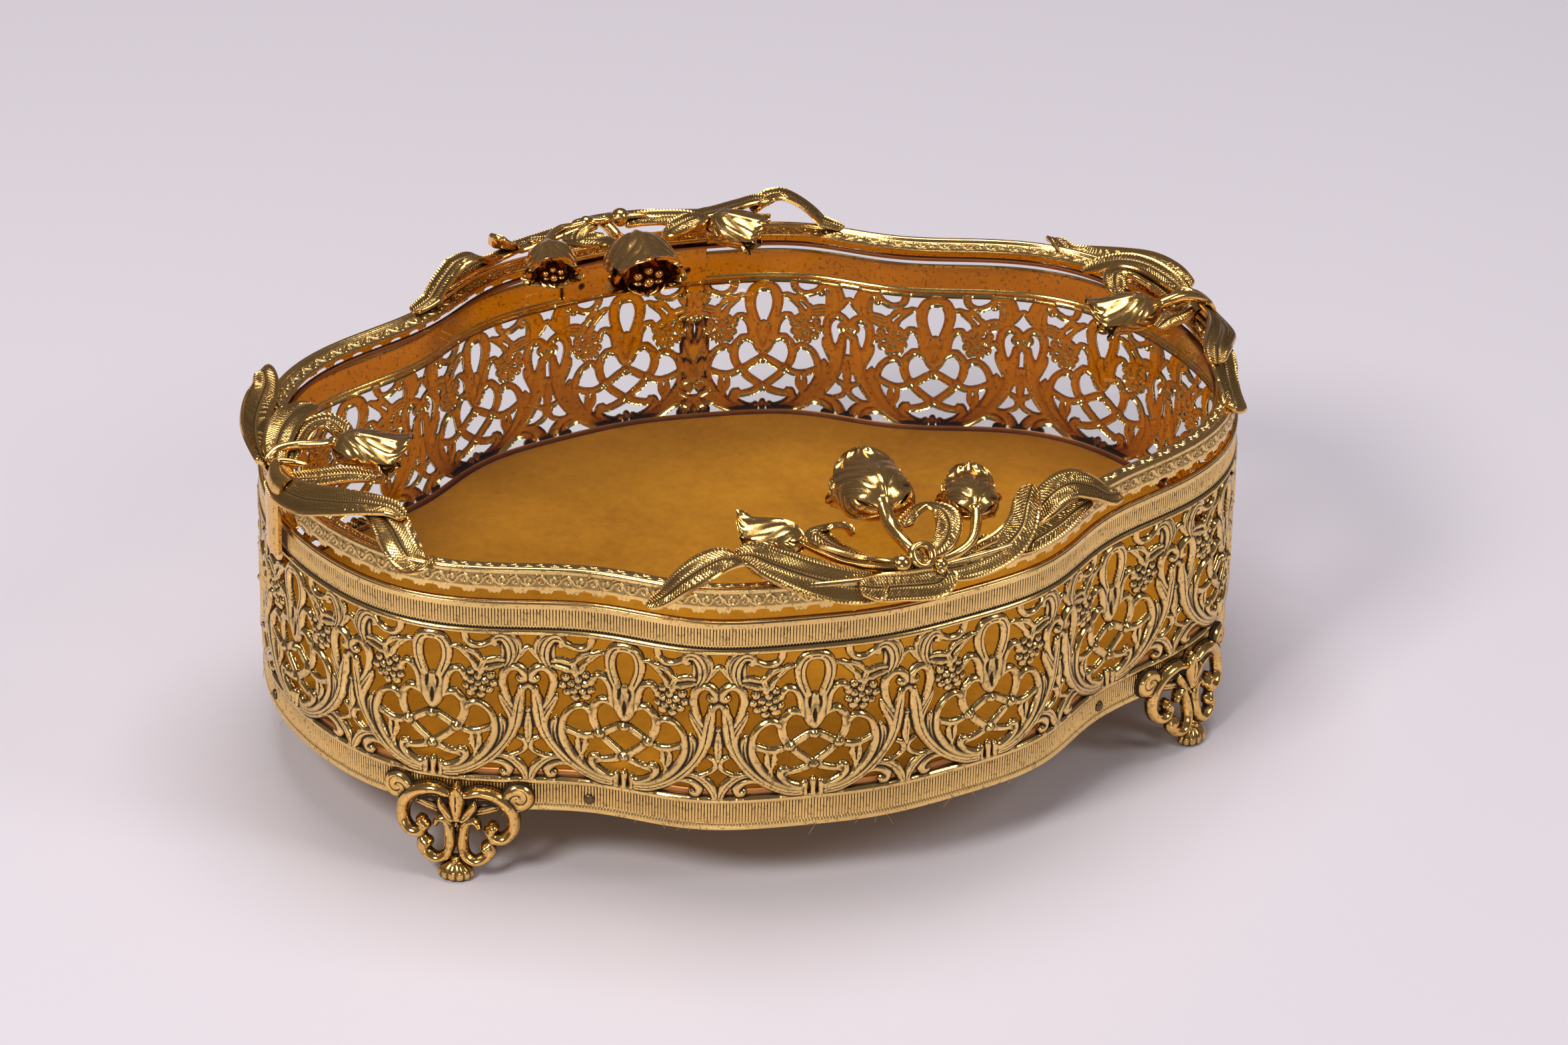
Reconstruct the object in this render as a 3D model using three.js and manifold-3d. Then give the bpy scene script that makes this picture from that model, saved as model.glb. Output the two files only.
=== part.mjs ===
// Vanity trinket box: a serpentine oval gilt case on four cast feet, with a hinged glass lid
// framed by a stamped bezel that carries cast ribbons and tulips.
// Millimetres, +Z up. The origin is on the standing plane, under the middle of the case.
// +X runs along the long axis, -Y faces the user, and the hinge is at the +Y side.
import * as THREE from 'three';
import { mergeVertices } from 'three/addons/utils/BufferGeometryUtils.js';
import Module from 'manifold-3d';

const wasm = await Module();
wasm.setup();

// ---------- driving dimensions ----------
// Plan outline of the wall's outer face: radius = mean + sum of amplitude * cos(order * angle).
const PLAN_MEAN_RADIUS = 105;
const PLAN_HARMONICS = { 2: 15.9, 4: 5.2, 6: -0.3, 8: -2.0, 10: -0.2, 12: 0.7 };
const CLEARANCE = 0.3;

const FOOT_HEIGHT = 18;          // standing plane to the wall's bottom edge
const LOWER_BAND = 8.6;          // fluted band heights, and the openwork between them
const OPENWORK = 41.2;
const UPPER_BAND = 8.5;
const WALL_THICKNESS = 0.8;
const RIM_ROLL = 1.3;            // thickness of the rolled top edge
const REPEATS = 15;              // stamped repeats round the wall
const SEGMENTS_PER_REPEAT = 5;

const PAN_THICKNESS = 0.6;
const PAN_FLOOR = FOOT_HEIGHT + 2;
const PAN_FLANGE_TOP = FOOT_HEIGHT + 11;
const FELT_THICKNESS = 0.8;
const BOARD_THICKNESS = 2;
const PAD_TOP = FOOT_HEIGHT + 11;
const PAD_INSET = 3.6;

const HINGE_WIDTH = 40;
const HINGE_CENTRE_KNUCKLE = 13.2;
const KNUCKLE_RADIUS = 1.2;
const KNUCKLE_BORE = 0.8;
const HINGE_PIN_RADIUS = 0.5;
const HINGE_Y = 91;
const LEAF_THICKNESS = 0.8;

const BEZEL_INSET = 2.2;         // wall outline to the bezel's outer face
const BEZEL_WALL = 1;
const BEZEL_SKIRT_BOTTOM = 79.3;
const BEZEL_RIDGE_TOP = 84.5;
const FLANGE_INSET = 8.6;        // wall outline to the bezel's inner lip
const FLANGE_LIP_TOP = 82;
const GLASS_INSET = 6.1;
const GLASS_BOTTOM = 78.8;
const GLASS_THICKNESS = 2;
const GLASS_BEVEL = 12;
const RING_INSET = 5.2;
const RING_SHEET = 0.5;

const PIN_ANGLES = [0, 46.5, 133.5, 180, 226.5, 313.5];
const PIN_HEIGHT = FOOT_HEIGHT + 3.8;
const PIN_SHANK_RADIUS = 0.6;
const PIN_HEAD_RADIUS = 1.3;
const RIVET_SHANK_RADIUS = 0.7;
const RIVET_HEAD_RADIUS = 1.6;
const SMALL_RIVET_HEAD_RADIUS = 1.1;

const FOOT_ANGLES = [31, 149, 211, 329];
const FOOT_NAMES = ['back_right', 'back_left', 'front_left', 'front_right'];
const FOOT_HALF_SPACING = 14.3;  // middle of the foot to the middle of each riveted disc
const DISC_RADIUS = 5;
const DISC_HEIGHT = FOOT_HEIGHT + 4;
const FOOT_THICKNESS = 2;
const BALL_RADIUS = 2.2;

const LONG_CASTING_SHIFT = 8;    // front casting's middle, past the middle of the front
const LONG_CASTING_HALF = 64;
const SHORT_CASTING_SHIFT = 7;
const SHORT_CASTING_HALF = 50;
const RIBBON_WIDTH = 7;
const RIBBON_THICKNESS = 1.6;
const RIBBON_REST = BEZEL_RIDGE_TOP + CLEARANCE;
const LARGE_TULIP = { length: 20, radius: 9, stem: 16 };
const SMALL_TULIP = { length: 15, radius: 6.2, stem: 10 };
const TULIP_HEIGHT = 91;
const TAB_WIDTH = 9;
const TAB_THICKNESS = 1.8;
const TAB_BOTTOM = 67.5;

const OPENWORK_BOTTOM = FOOT_HEIGHT + LOWER_BAND;
const WALL_TOP = OPENWORK_BOTTOM + OPENWORK + UPPER_BAND;
const HINGE_Z = WALL_TOP + CLEARANCE + KNUCKLE_RADIUS;

// ---------- materials ----------
function finish(colour, roughness, metalness, opacity = 1) {
  return new THREE.MeshStandardMaterial({ color: colour, roughness, metalness, opacity, transparent: opacity < 1 });
}
const GILT = finish(0xd9b978, 0.32, 1);
const CAST_GILT = finish(0xd8ac4e, 0.3, 1);
const COPPER = finish(0xb8714a, 0.35, 1);
const DARK_BRASS = finish(0x4a3a22, 0.45, 1);
const VELVET = finish(0xbe7a1e, 0.95, 0);
const FELT = finish(0x9c6a22, 1, 0);
const BOARD = finish(0x8d8574, 0.9, 0);
const GLASS = finish(0xf2f6f4, 0.03, 0, 0.2);

// ---------- plan outline, measured by arc length ----------
const TABLE_STEPS = 2880;

function planRadius(angle) {
  return Object.entries(PLAN_HARMONICS)
    .reduce((sum, [order, amplitude]) => sum + amplitude * Math.cos(order * angle), PLAN_MEAN_RADIUS);
}

function planPoint(angle) {
  const radius = planRadius(angle);
  return new THREE.Vector2(radius * Math.cos(angle), radius * Math.sin(angle));
}

function makeArcTable() {
  const table = [0];
  for (let i = 1; i <= TABLE_STEPS; i += 1) {
    const before = planPoint((2 * Math.PI * (i - 1)) / TABLE_STEPS);
    const after = planPoint((2 * Math.PI * i) / TABLE_STEPS);
    table.push(table[i - 1] + before.distanceTo(after));
  }
  return table;
}
const ARC_TABLE = makeArcTable();
const PERIMETER = ARC_TABLE[TABLE_STEPS];

function arcOfAngle(angle) {
  return ARC_TABLE[Math.round((angle / (2 * Math.PI)) * TABLE_STEPS)];
}

function angleOfArc(arc) {
  const wrapped = ((arc % PERIMETER) + PERIMETER) % PERIMETER;
  let low = 0;
  let high = TABLE_STEPS;
  while (high - low > 1) {
    const middle = (low + high) >> 1;
    if (ARC_TABLE[middle] <= wrapped) low = middle;
    else high = middle;
  }
  const part = (wrapped - ARC_TABLE[low]) / (ARC_TABLE[high] - ARC_TABLE[low]);
  return (2 * Math.PI * (low + part)) / TABLE_STEPS;
}

// A point `out` millimetres outside the wall's outer face, at an arc length and a height.
function onWall(arc, out, height) {
  const angle = angleOfArc(arc);
  const here = planPoint(angle);
  const tangent = planPoint(angle + 1e-4).sub(planPoint(angle - 1e-4)).normalize();
  return new THREE.Vector3(here.x + out * tangent.y, here.y - out * tangent.x, height);
}

const ARC_BACK = arcOfAngle(Math.PI / 2);
const ARC_LEFT = arcOfAngle(Math.PI);
const ARC_FRONT = arcOfAngle((3 * Math.PI) / 2);

// ---------- solids ----------
function closed(geometry) {
  geometry.deleteAttribute('normal');
  geometry.deleteAttribute('uv');
  return mergeVertices(geometry, 1e-4);
}

function mapped(geometry, place) {
  const positions = geometry.attributes.position;
  for (let i = 0; i < positions.count; i += 1) {
    const target = place(positions.getX(i), positions.getY(i), positions.getZ(i));
    positions.setXYZ(i, target.x, target.y, target.z);
  }
  return geometry;
}

function solid(geometry) {
  const welded = closed(geometry);
  return new wasm.Manifold(new wasm.Mesh({
    numProp: 3,
    vertProperties: new Float32Array(welded.attributes.position.array),
    triVerts: new Uint32Array(welded.index.array),
  }));
}

function joined(geometries) {
  return geometries.map(solid).reduce((whole, piece) => whole.add(piece));
}

function cutBy(body, cutters) {
  return cutters.reduce((rest, cutter) => rest.subtract(solid(cutter)), body);
}

function geometryOf(manifold) {
  const mesh = manifold.getMesh();
  const geometry = new THREE.BufferGeometry();
  geometry.setAttribute('position', new THREE.BufferAttribute(new Float32Array(mesh.vertProperties), 3));
  geometry.setIndex(new THREE.BufferAttribute(new Uint32Array(mesh.triVerts), 1));
  return geometry;
}

const object = new THREE.Group();

function addPiece(name, shape, material) {
  const geometry = shape.getMesh ? geometryOf(shape) : closed(shape);
  geometry.computeVertexNormals();
  const mesh = new THREE.Mesh(geometry, material);
  mesh.name = name;
  object.add(mesh);
}

// A section of [inset, height] points, counter-clockwise with inset growing inward as radius falls,
// carried all the way round the outline. An inset of null is a point on the central axis.
const RING_RADIUS = 100;

function aroundPlan(section, segments, close = true) {
  const points = section.map(([inset, height]) => new THREE.Vector2(inset === null ? 0 : RING_RADIUS - inset, height));
  if (close) points.push(points[0].clone());
  const ring = new THREE.LatheGeometry(points, segments);
  return mapped(ring, (x, height, z) => {
    const radius = Math.hypot(x, z);
    if (radius < 1e-3) return new THREE.Vector3(0, 0, height);
    const turn = Math.atan2(-z, x);
    return onWall((turn / (2 * Math.PI)) * PERIMETER, radius - RING_RADIUS, height);
  });
}

function plateSection(inset, bottom, top) {
  return [[null, bottom], [inset, bottom], [inset, top], [null, top]];
}

// A round bar whose axis is square to the wall; the profile is [radius, out] from inside to outside.
function barThroughWall(arc, height, profile, sides = 8) {
  const points = profile.map(([radius, out]) => new THREE.Vector2(radius, out));
  const bar = new THREE.LatheGeometry(points, sides);
  const origin = onWall(arc, 0, height);
  const outward = onWall(arc, 1, height).sub(origin);
  const along = new THREE.Vector3(-outward.y, outward.x, 0);
  return mapped(bar, (x, y, z) => origin.clone()
    .addScaledVector(outward, y)
    .addScaledVector(along, -x)
    .add(new THREE.Vector3(0, 0, z)));
}

function holeThroughWall(arc, height, radius, from, to) {
  return barThroughWall(arc, height, [[0, from], [radius, from], [radius, to], [0, to]]);
}

function rivetProfile(shank, head, inside, outside, headHeight) {
  return [
    [0, inside - headHeight], [head * 0.7, inside - headHeight], [head, inside],
    [shank, inside], [shank, outside],
    [head, outside], [head * 0.7, outside + headHeight], [0, outside + headHeight],
  ];
}

// A bar along X, for the hinge.
function barAlongX(radius, from, to, y, z, sides = 16) {
  const bar = new THREE.CylinderGeometry(radius, radius, to - from, sides);
  return bar.rotateZ(Math.PI / 2).translate((from + to) / 2, y, z);
}

// A plate bent to the wall, centred on an arc length.
function plateOnWall(arc, width, inner, outer, bottom, top, steps) {
  const plate = new THREE.BoxGeometry(width, outer - inner, top - bottom, steps, 1, 1);
  const middle = (inner + outer) / 2;
  return mapped(plate, (x, y, z) => onWall(arc + x, middle - y, (bottom + top) / 2 + z));
}

// ---------- case wall ----------
const WALL_SEGMENTS = REPEATS * SEGMENTS_PER_REPEAT;
const FOOT_RIVET_ARCS = FOOT_ANGLES.flatMap((degrees) => {
  const middle = arcOfAngle(THREE.MathUtils.degToRad(degrees));
  return [middle - FOOT_HALF_SPACING, middle + FOOT_HALF_SPACING];
});
const PIN_ARCS = PIN_ANGLES.map((degrees) => arcOfAngle(THREE.MathUtils.degToRad(degrees)));
const HINGE_RIVET_ARCS = [ARC_BACK - HINGE_WIDTH * 0.375, ARC_BACK + HINGE_WIDTH * 0.375];
const HINGE_RIVET_HEIGHT = WALL_TOP - 4;
const LID_RIVET_HEIGHT = 80.7;

// Openings of one repeat: [distance along, height, half width, half height].
const OPENINGS = [
  [0, 33.7, 1.9, 4.2],
  [-6.4, 16.8, 3.2, 3.8],
  [6.4, 16.8, 3.2, 3.8],
  [-8.6, 27, 2.2, 3.4],
  [8.6, 27, 2.2, 3.4],
  [23.1, 28.5, 2.2, 4.4],
  [23.1, 12, 2, 3.4],
];
const OPENING_SIDES = 6;

function openingCutter(arc, height, halfWidth, halfHeight) {
  const prism = new THREE.CylinderGeometry(1, 1, 4 * WALL_THICKNESS, OPENING_SIDES);
  return mapped(prism, (x, y, z) => onWall(arc + x * halfWidth, -y - WALL_THICKNESS / 2, height + z * halfHeight));
}

function galleryWall() {
  const ring = solid(aroundPlan([
    [0, FOOT_HEIGHT], [0, WALL_TOP], [RIM_ROLL, WALL_TOP], [RIM_ROLL, WALL_TOP - RIM_ROLL],
    [WALL_THICKNESS, WALL_TOP - RIM_ROLL], [WALL_THICKNESS, FOOT_HEIGHT],
  ], WALL_SEGMENTS));
  const cutters = [];
  for (let repeat = 0; repeat < REPEATS; repeat += 1) {
    const start = ARC_BACK + (repeat * PERIMETER) / REPEATS;
    for (const [along, height, halfWidth, halfHeight] of OPENINGS) {
      cutters.push(openingCutter(start + along, OPENWORK_BOTTOM + height, halfWidth, halfHeight));
    }
  }
  const across = [-2 * WALL_THICKNESS, WALL_THICKNESS];
  for (const arc of PIN_ARCS) cutters.push(holeThroughWall(arc, PIN_HEIGHT, PIN_SHANK_RADIUS + CLEARANCE, ...across));
  for (const arc of FOOT_RIVET_ARCS) {
    cutters.push(holeThroughWall(arc, DISC_HEIGHT, RIVET_SHANK_RADIUS + CLEARANCE, ...across));
  }
  for (const arc of HINGE_RIVET_ARCS) {
    cutters.push(holeThroughWall(arc, HINGE_RIVET_HEIGHT, RIVET_SHANK_RADIUS + CLEARANCE, ...across));
  }
  return cutBy(ring, cutters);
}

// ---------- base ----------
const BASE_SEGMENTS = 72;
const PAN_INSET = WALL_THICKNESS + CLEARANCE;

function basePan() {
  const inner = PAN_INSET + PAN_THICKNESS;
  const pan = solid(aroundPlan([
    [null, PAN_FLOOR], [PAN_INSET, PAN_FLOOR], [PAN_INSET, PAN_FLANGE_TOP],
    [inner, PAN_FLANGE_TOP], [inner, PAN_FLOOR + PAN_THICKNESS], [null, PAN_FLOOR + PAN_THICKNESS],
  ], WALL_SEGMENTS, false));
  const across = [-inner - PAN_THICKNESS, 0];
  const cutters = PIN_ARCS.map((arc) => holeThroughWall(arc, PIN_HEIGHT, PIN_SHANK_RADIUS + CLEARANCE, ...across));
  for (const arc of FOOT_RIVET_ARCS) {
    cutters.push(holeThroughWall(arc, DISC_HEIGHT, RIVET_SHANK_RADIUS + CLEARANCE, ...across));
  }
  return cutBy(pan, cutters);
}

function softPlate(bottom, top) {
  return aroundPlan(plateSection(PAD_INSET, bottom, top), BASE_SEGMENTS, false);
}

function panPin(arc) {
  const inside = -(PAN_INSET + PAN_THICKNESS + 2 * CLEARANCE);
  return barThroughWall(arc, PIN_HEIGHT, [
    [0, inside], [PIN_SHANK_RADIUS, inside], [PIN_SHANK_RADIUS, CLEARANCE],
    [PIN_HEAD_RADIUS, CLEARANCE], [PIN_HEAD_RADIUS * 0.7, 1], [0, 1.2],
  ]);
}

// ---------- feet ----------
const SCROLL_STEPS = 9;

function footPlace(arc) {
  return (x, y, z) => onWall(arc + x, CLEARANCE + z, y);
}

function sweptBar(points, radius, sides = 5) {
  const path = new THREE.CatmullRomCurve3(points.map(([x, y, z]) => new THREE.Vector3(x, y, z)));
  const corners = Array.from({ length: sides }, (_, i) => (2 * Math.PI * i) / sides);
  const section = new THREE.Shape(corners.map((turn) => new THREE.Vector2(
    radius * Math.cos(turn),
    radius * Math.sin(turn),
  )));
  return new THREE.ExtrudeGeometry(section, { steps: SCROLL_STEPS, extrudePath: path });
}

function footDisc(side) {
  const disc = new THREE.CylinderGeometry(DISC_RADIUS, DISC_RADIUS, FOOT_THICKNESS, 10);
  return disc.rotateX(Math.PI / 2).translate(side * FOOT_HALF_SPACING, DISC_HEIGHT, FOOT_THICKNESS / 2);
}

function footScroll(side) {
  return sweptBar([
    [side * 12, DISC_HEIGHT - 2, 2], [side * 6, DISC_HEIGHT - 3, 2.6], [side * 4.4, DISC_HEIGHT - 8, 3],
    [side * 9, DISC_HEIGHT - 11, 3.2], [side * 13, DISC_HEIGHT - 8, 3], [side * 11, DISC_HEIGHT - 5.6, 3],
  ], 1.5);
}

function footStem(side) {
  return sweptBar([
    [side * 5, DISC_HEIGHT - 3.4, 2.4], [side * 2, DISC_HEIGHT - 8, 2.8], [side * 3.4, DISC_HEIGHT - 13, 3],
    [side * 1.6, 3, 2.8],
  ], 1.5);
}

function footCrossbar() {
  return new THREE.BoxGeometry(2 * FOOT_HALF_SPACING, 3, FOOT_THICKNESS, 6, 1, 1)
    .translate(0, DISC_HEIGHT - 1.2, FOOT_THICKNESS / 2);
}

function footToe() {
  const toe = new THREE.CylinderGeometry(3, 4.6, 5, 10);
  return toe.translate(0, 2.5, 4.6);
}

function footBud() {
  return new THREE.SphereGeometry(3, 6, 4).scale(1, 1.6, 0.7).translate(0, DISC_HEIGHT - 1, 2.1);
}

function foot(arc) {
  const shapes = [footCrossbar(), footToe(), footBud()];
  for (const side of [-1, 1]) shapes.push(footDisc(side), footScroll(side), footStem(side));
  const casting = joined(shapes.map((shape) => mapped(shape, footPlace(arc))));
  return cutBy(casting, [-1, 1].map((side) => holeThroughWall(
    arc + side * FOOT_HALF_SPACING,
    DISC_HEIGHT,
    RIVET_SHANK_RADIUS + CLEARANCE,
    -FOOT_THICKNESS,
    FOOT_THICKNESS * 0.7,
  )));
}

function footRivet(arc) {
  const inside = -(PAN_INSET + PAN_THICKNESS + 2 * CLEARANCE);
  const tip = FOOT_THICKNESS * 0.7 - CLEARANCE;
  return barThroughWall(arc, DISC_HEIGHT, [
    [0, inside - 0.8], [SMALL_RIVET_HEAD_RADIUS * 0.7, inside - 0.8], [SMALL_RIVET_HEAD_RADIUS, inside],
    [RIVET_SHANK_RADIUS, inside], [RIVET_SHANK_RADIUS, tip], [0, tip],
  ]);
}

// ---------- hinge ----------
const LOWER_LEAF_INSET = WALL_THICKNESS + 0.5 + CLEARANCE;
const UPPER_LEAF_INSET = BEZEL_INSET + BEZEL_WALL + CLEARANCE;
const LEAF_STEPS = 8;

function lowerLeaf() {
  const leaf = plateOnWall(
    ARC_BACK,
    HINGE_WIDTH,
    -LOWER_LEAF_INSET - LEAF_THICKNESS,
    -LOWER_LEAF_INSET,
    WALL_TOP - UPPER_BAND + 1,
    HINGE_Z + 0.4,
    LEAF_STEPS,
  );
  const half = HINGE_WIDTH / 2;
  const gap = HINGE_CENTRE_KNUCKLE / 2 + CLEARANCE;
  const barrel = joined([
    leaf,
    barAlongX(KNUCKLE_RADIUS, -half, half, HINGE_Y, HINGE_Z),
  ]);
  const notch = new THREE.BoxGeometry(2 * gap, 12, 8).translate(0, HINGE_Y, WALL_TOP - 1 + 4);
  const cutters = [notch, barAlongX(KNUCKLE_BORE, -half - 1, half + 1, HINGE_Y, HINGE_Z)];
  for (const arc of HINGE_RIVET_ARCS) {
    cutters.push(holeThroughWall(arc, HINGE_RIVET_HEIGHT, RIVET_SHANK_RADIUS + CLEARANCE, -6, 0));
  }
  return cutBy(barrel, cutters);
}

function upperLeaf() {
  const leaf = plateOnWall(
    ARC_BACK,
    HINGE_WIDTH,
    -UPPER_LEAF_INSET - LEAF_THICKNESS,
    -UPPER_LEAF_INSET,
    BEZEL_SKIRT_BOTTOM,
    FLANGE_LIP_TOP,
    LEAF_STEPS,
  );
  const half = HINGE_CENTRE_KNUCKLE / 2;
  const drop = new THREE.BoxGeometry(2 * half, 0.85, 2.6).translate(0, HINGE_Y - 1.7, HINGE_Z + 0.9);
  const bridge = new THREE.BoxGeometry(2 * half, 1.6, 1.4).translate(0, HINGE_Y - 1.3, HINGE_Z + 0.3);
  const barrel = joined([leaf, drop, bridge, barAlongX(KNUCKLE_RADIUS, -half, half, HINGE_Y, HINGE_Z)]);
  const cutters = [barAlongX(KNUCKLE_BORE, -half - 1, half + 1, HINGE_Y, HINGE_Z)];
  for (const arc of HINGE_RIVET_ARCS) {
    cutters.push(holeThroughWall(arc, LID_RIVET_HEIGHT, RIVET_SHANK_RADIUS + CLEARANCE, -8, 0));
  }
  return cutBy(barrel, cutters);
}

function caseHingeRivet(arc) {
  const inside = -(LOWER_LEAF_INSET + LEAF_THICKNESS + CLEARANCE);
  return barThroughWall(arc, HINGE_RIVET_HEIGHT, rivetProfile(
    RIVET_SHANK_RADIUS, RIVET_HEAD_RADIUS, inside, CLEARANCE, 0.6,
  ));
}

function lidHingeRivet(arc) {
  const inside = -(UPPER_LEAF_INSET + LEAF_THICKNESS + CLEARANCE);
  return barThroughWall(arc, LID_RIVET_HEIGHT, rivetProfile(
    RIVET_SHANK_RADIUS, SMALL_RIVET_HEAD_RADIUS, inside, CLEARANCE - BEZEL_INSET, 0.4,
  ));
}

// ---------- lid ----------
const LID_SEGMENTS = 80;

function bezel() {
  const outer = BEZEL_INSET;
  const inner = BEZEL_INSET + BEZEL_WALL;
  const ring = solid(aroundPlan([
    [inner, BEZEL_SKIRT_BOTTOM], [outer, BEZEL_SKIRT_BOTTOM], [outer, BEZEL_RIDGE_TOP - 1.1],
    [outer + 0.7, BEZEL_RIDGE_TOP], [outer + 1.6, BEZEL_RIDGE_TOP], [outer + 2.3, BEZEL_RIDGE_TOP - 0.9],
    [FLANGE_INSET, FLANGE_LIP_TOP], [FLANGE_INSET, FLANGE_LIP_TOP - 0.8], [inner, BEZEL_RIDGE_TOP - 1.7],
  ], LID_SEGMENTS));
  return cutBy(ring, HINGE_RIVET_ARCS.map((arc) => holeThroughWall(
    arc, LID_RIVET_HEIGHT, RIVET_SHANK_RADIUS + CLEARANCE, -4, 0,
  )));
}

function glassPanel() {
  const top = GLASS_BOTTOM + GLASS_THICKNESS;
  return aroundPlan([
    [null, GLASS_BOTTOM], [GLASS_INSET, GLASS_BOTTOM], [GLASS_INSET, top - 0.8],
    [GLASS_INSET + GLASS_BEVEL, top], [null, top],
  ], BASE_SEGMENTS, false);
}

function retainingRing() {
  const bottom = GLASS_BOTTOM - CLEARANCE - RING_SHEET;
  return aroundPlan([
    [FLANGE_INSET, bottom], [RING_INSET, bottom], [RING_INSET, GLASS_BOTTOM + GLASS_THICKNESS - 0.8],
    [RING_INSET + RING_SHEET, GLASS_BOTTOM + GLASS_THICKNESS - 0.8],
    [RING_INSET + RING_SHEET, bottom + RING_SHEET], [FLANGE_INSET, bottom + RING_SHEET],
  ], BASE_SEGMENTS);
}

// A ribbon laid along the bezel: its middle line is [along, inset, height] control points.
function ribbonBand(arc, line) {
  const path = new THREE.CatmullRomCurve3(line.map(([along, inset, height]) => new THREE.Vector3(along, inset, height)));
  const steps = 2 * line.length;
  const strip = new THREE.BoxGeometry(1, RIBBON_WIDTH, RIBBON_THICKNESS, steps, 1, 1);
  return mapped(strip, (x, y, z) => {
    const point = path.getPoint(x + 0.5);
    return onWall(arc + point.x, -point.y - y, point.z + z);
  });
}

function longRibbons(arc) {
  const end = LONG_CASTING_HALF;
  const low = RIBBON_REST + RIBBON_THICKNESS / 2;
  return joined([
    ribbonBand(arc, [[-end, 0.5, low], [-end / 2, 3, low], [0, 2.5, low], [end / 2, 3, low], [end, 0.5, low]]),
    ribbonBand(arc, [
      [-end * 0.8, 3, low + 0.6], [-end * 0.45, 0, low + 2.5], [-6, 3, low + 1],
      [6, 3, low + 1], [end * 0.45, 0, low + 2.5], [end * 0.8, 3, low + 0.6],
    ]),
  ]);
}

function shortRibbons(arc, tabAlong) {
  const end = SHORT_CASTING_HALF;
  const low = RIBBON_REST + RIBBON_THICKNESS / 2;
  const tab = plateOnWall(arc + tabAlong, TAB_WIDTH, 0.6, 0.6 + TAB_THICKNESS, TAB_BOTTOM, low + 0.8, 3);
  return joined([
    ribbonBand(arc, [[-end, 0.5, low], [-end / 2, 3, low], [0, 1.2, low], [end / 2, 3, low], [end, 0.5, low]]),
    ribbonBand(arc, [[-end * 0.6, 2, low + 0.4], [-end * 0.2, 1, low + 2.5], [end * 0.3, 1, low + 2], [end * 0.7, 3, low + 0.4]]),
    tab,
  ]);
}

// A tulip lying over the glass: its stem root, the heading of its mouth and its size.
function tulip(arc, along, inset, heading, size) {
  const { length, radius, stem } = size;
  const flower = new THREE.LatheGeometry([
    [0, -stem], [1.5, -stem], [1.4, -1.5], [2.6, -1.2], [2.6, 0.4], [radius * 0.6, length * 0.2],
    [radius * 0.82, length * 0.5], [radius * 0.7, length * 0.8], [radius, length],
    [radius * 0.5, length * 0.7], [radius * 0.4, length * 0.4], [0, length * 0.3],
  ].map(([across, out]) => new THREE.Vector2(across, out)), 10);
  const base = onWall(arc + along, -inset, TULIP_HEIGHT);
  const inward = base.clone().sub(onWall(arc + along, -inset + 1, TULIP_HEIGHT)).normalize();
  const forward = inward.applyAxisAngle(new THREE.Vector3(0, 0, 1), heading);
  const side = new THREE.Vector3(forward.y, -forward.x, 0);
  return mapped(flower, (x, y, z) => base.clone()
    .addScaledVector(forward, y)
    .addScaledVector(side, x)
    .add(new THREE.Vector3(0, 0, z)));
}

// ---------- assembly ----------
addPiece('gallery_wall', galleryWall(), GILT);
addPiece('base_pan', basePan(), COPPER);
addPiece('base_felt', softPlate(PAN_FLOOR - CLEARANCE - FELT_THICKNESS, PAN_FLOOR - CLEARANCE), FELT);

const BOARD_BOTTOM = PAN_FLOOR + PAN_THICKNESS + CLEARANCE;
const BOARD_TOP = BOARD_BOTTOM + BOARD_THICKNESS;
addPiece('pad_board', softPlate(BOARD_BOTTOM, BOARD_TOP), BOARD);
addPiece('velvet_pad', softPlate(BOARD_TOP + CLEARANCE, PAD_TOP), VELVET);
PIN_ARCS.forEach((arc, index) => addPiece(`pan_pin_${index + 1}`, panPin(arc), DARK_BRASS));

FOOT_ANGLES.forEach((degrees, index) => {
  const arc = arcOfAngle(THREE.MathUtils.degToRad(degrees));
  addPiece(`foot_${FOOT_NAMES[index]}`, foot(arc), CAST_GILT);
  addPiece(`foot_rivet_${FOOT_NAMES[index]}_1`, footRivet(arc - FOOT_HALF_SPACING), DARK_BRASS);
  addPiece(`foot_rivet_${FOOT_NAMES[index]}_2`, footRivet(arc + FOOT_HALF_SPACING), DARK_BRASS);
});

addPiece('hinge_leaf_lower', lowerLeaf(), GILT);
addPiece('hinge_leaf_upper', upperLeaf(), GILT);
addPiece('hinge_pin', barAlongX(HINGE_PIN_RADIUS, -HINGE_WIDTH / 2, HINGE_WIDTH / 2, HINGE_Y, HINGE_Z, 12), DARK_BRASS);
HINGE_RIVET_ARCS.forEach((arc, index) => {
  addPiece(`case_hinge_rivet_${index + 1}`, caseHingeRivet(arc), DARK_BRASS);
  addPiece(`lid_hinge_rivet_${index + 1}`, lidHingeRivet(arc), DARK_BRASS);
});

addPiece('bezel', bezel(), GILT);
addPiece('glass_panel', glassPanel(), GLASS);
addPiece('glass_retaining_ring', retainingRing(), COPPER);

const LONG_CASTINGS = { front: ARC_FRONT + LONG_CASTING_SHIFT, back: ARC_BACK + LONG_CASTING_SHIFT };
const LONG_TULIPS = [
  ['centre', 0, 22, 0.15, LARGE_TULIP],
  ['large_side', -30, 13, 0.75, SMALL_TULIP],
  ['small_side', 26, 15, -0.3, SMALL_TULIP],
];
for (const [name, arc] of Object.entries(LONG_CASTINGS)) {
  addPiece(`ribbon_${name}`, longRibbons(arc), CAST_GILT);
  for (const [place, along, inset, heading, size] of LONG_TULIPS) {
    addPiece(`tulip_${name}_${place}`, tulip(arc, along, inset, heading, size), CAST_GILT);
  }
}

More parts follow.
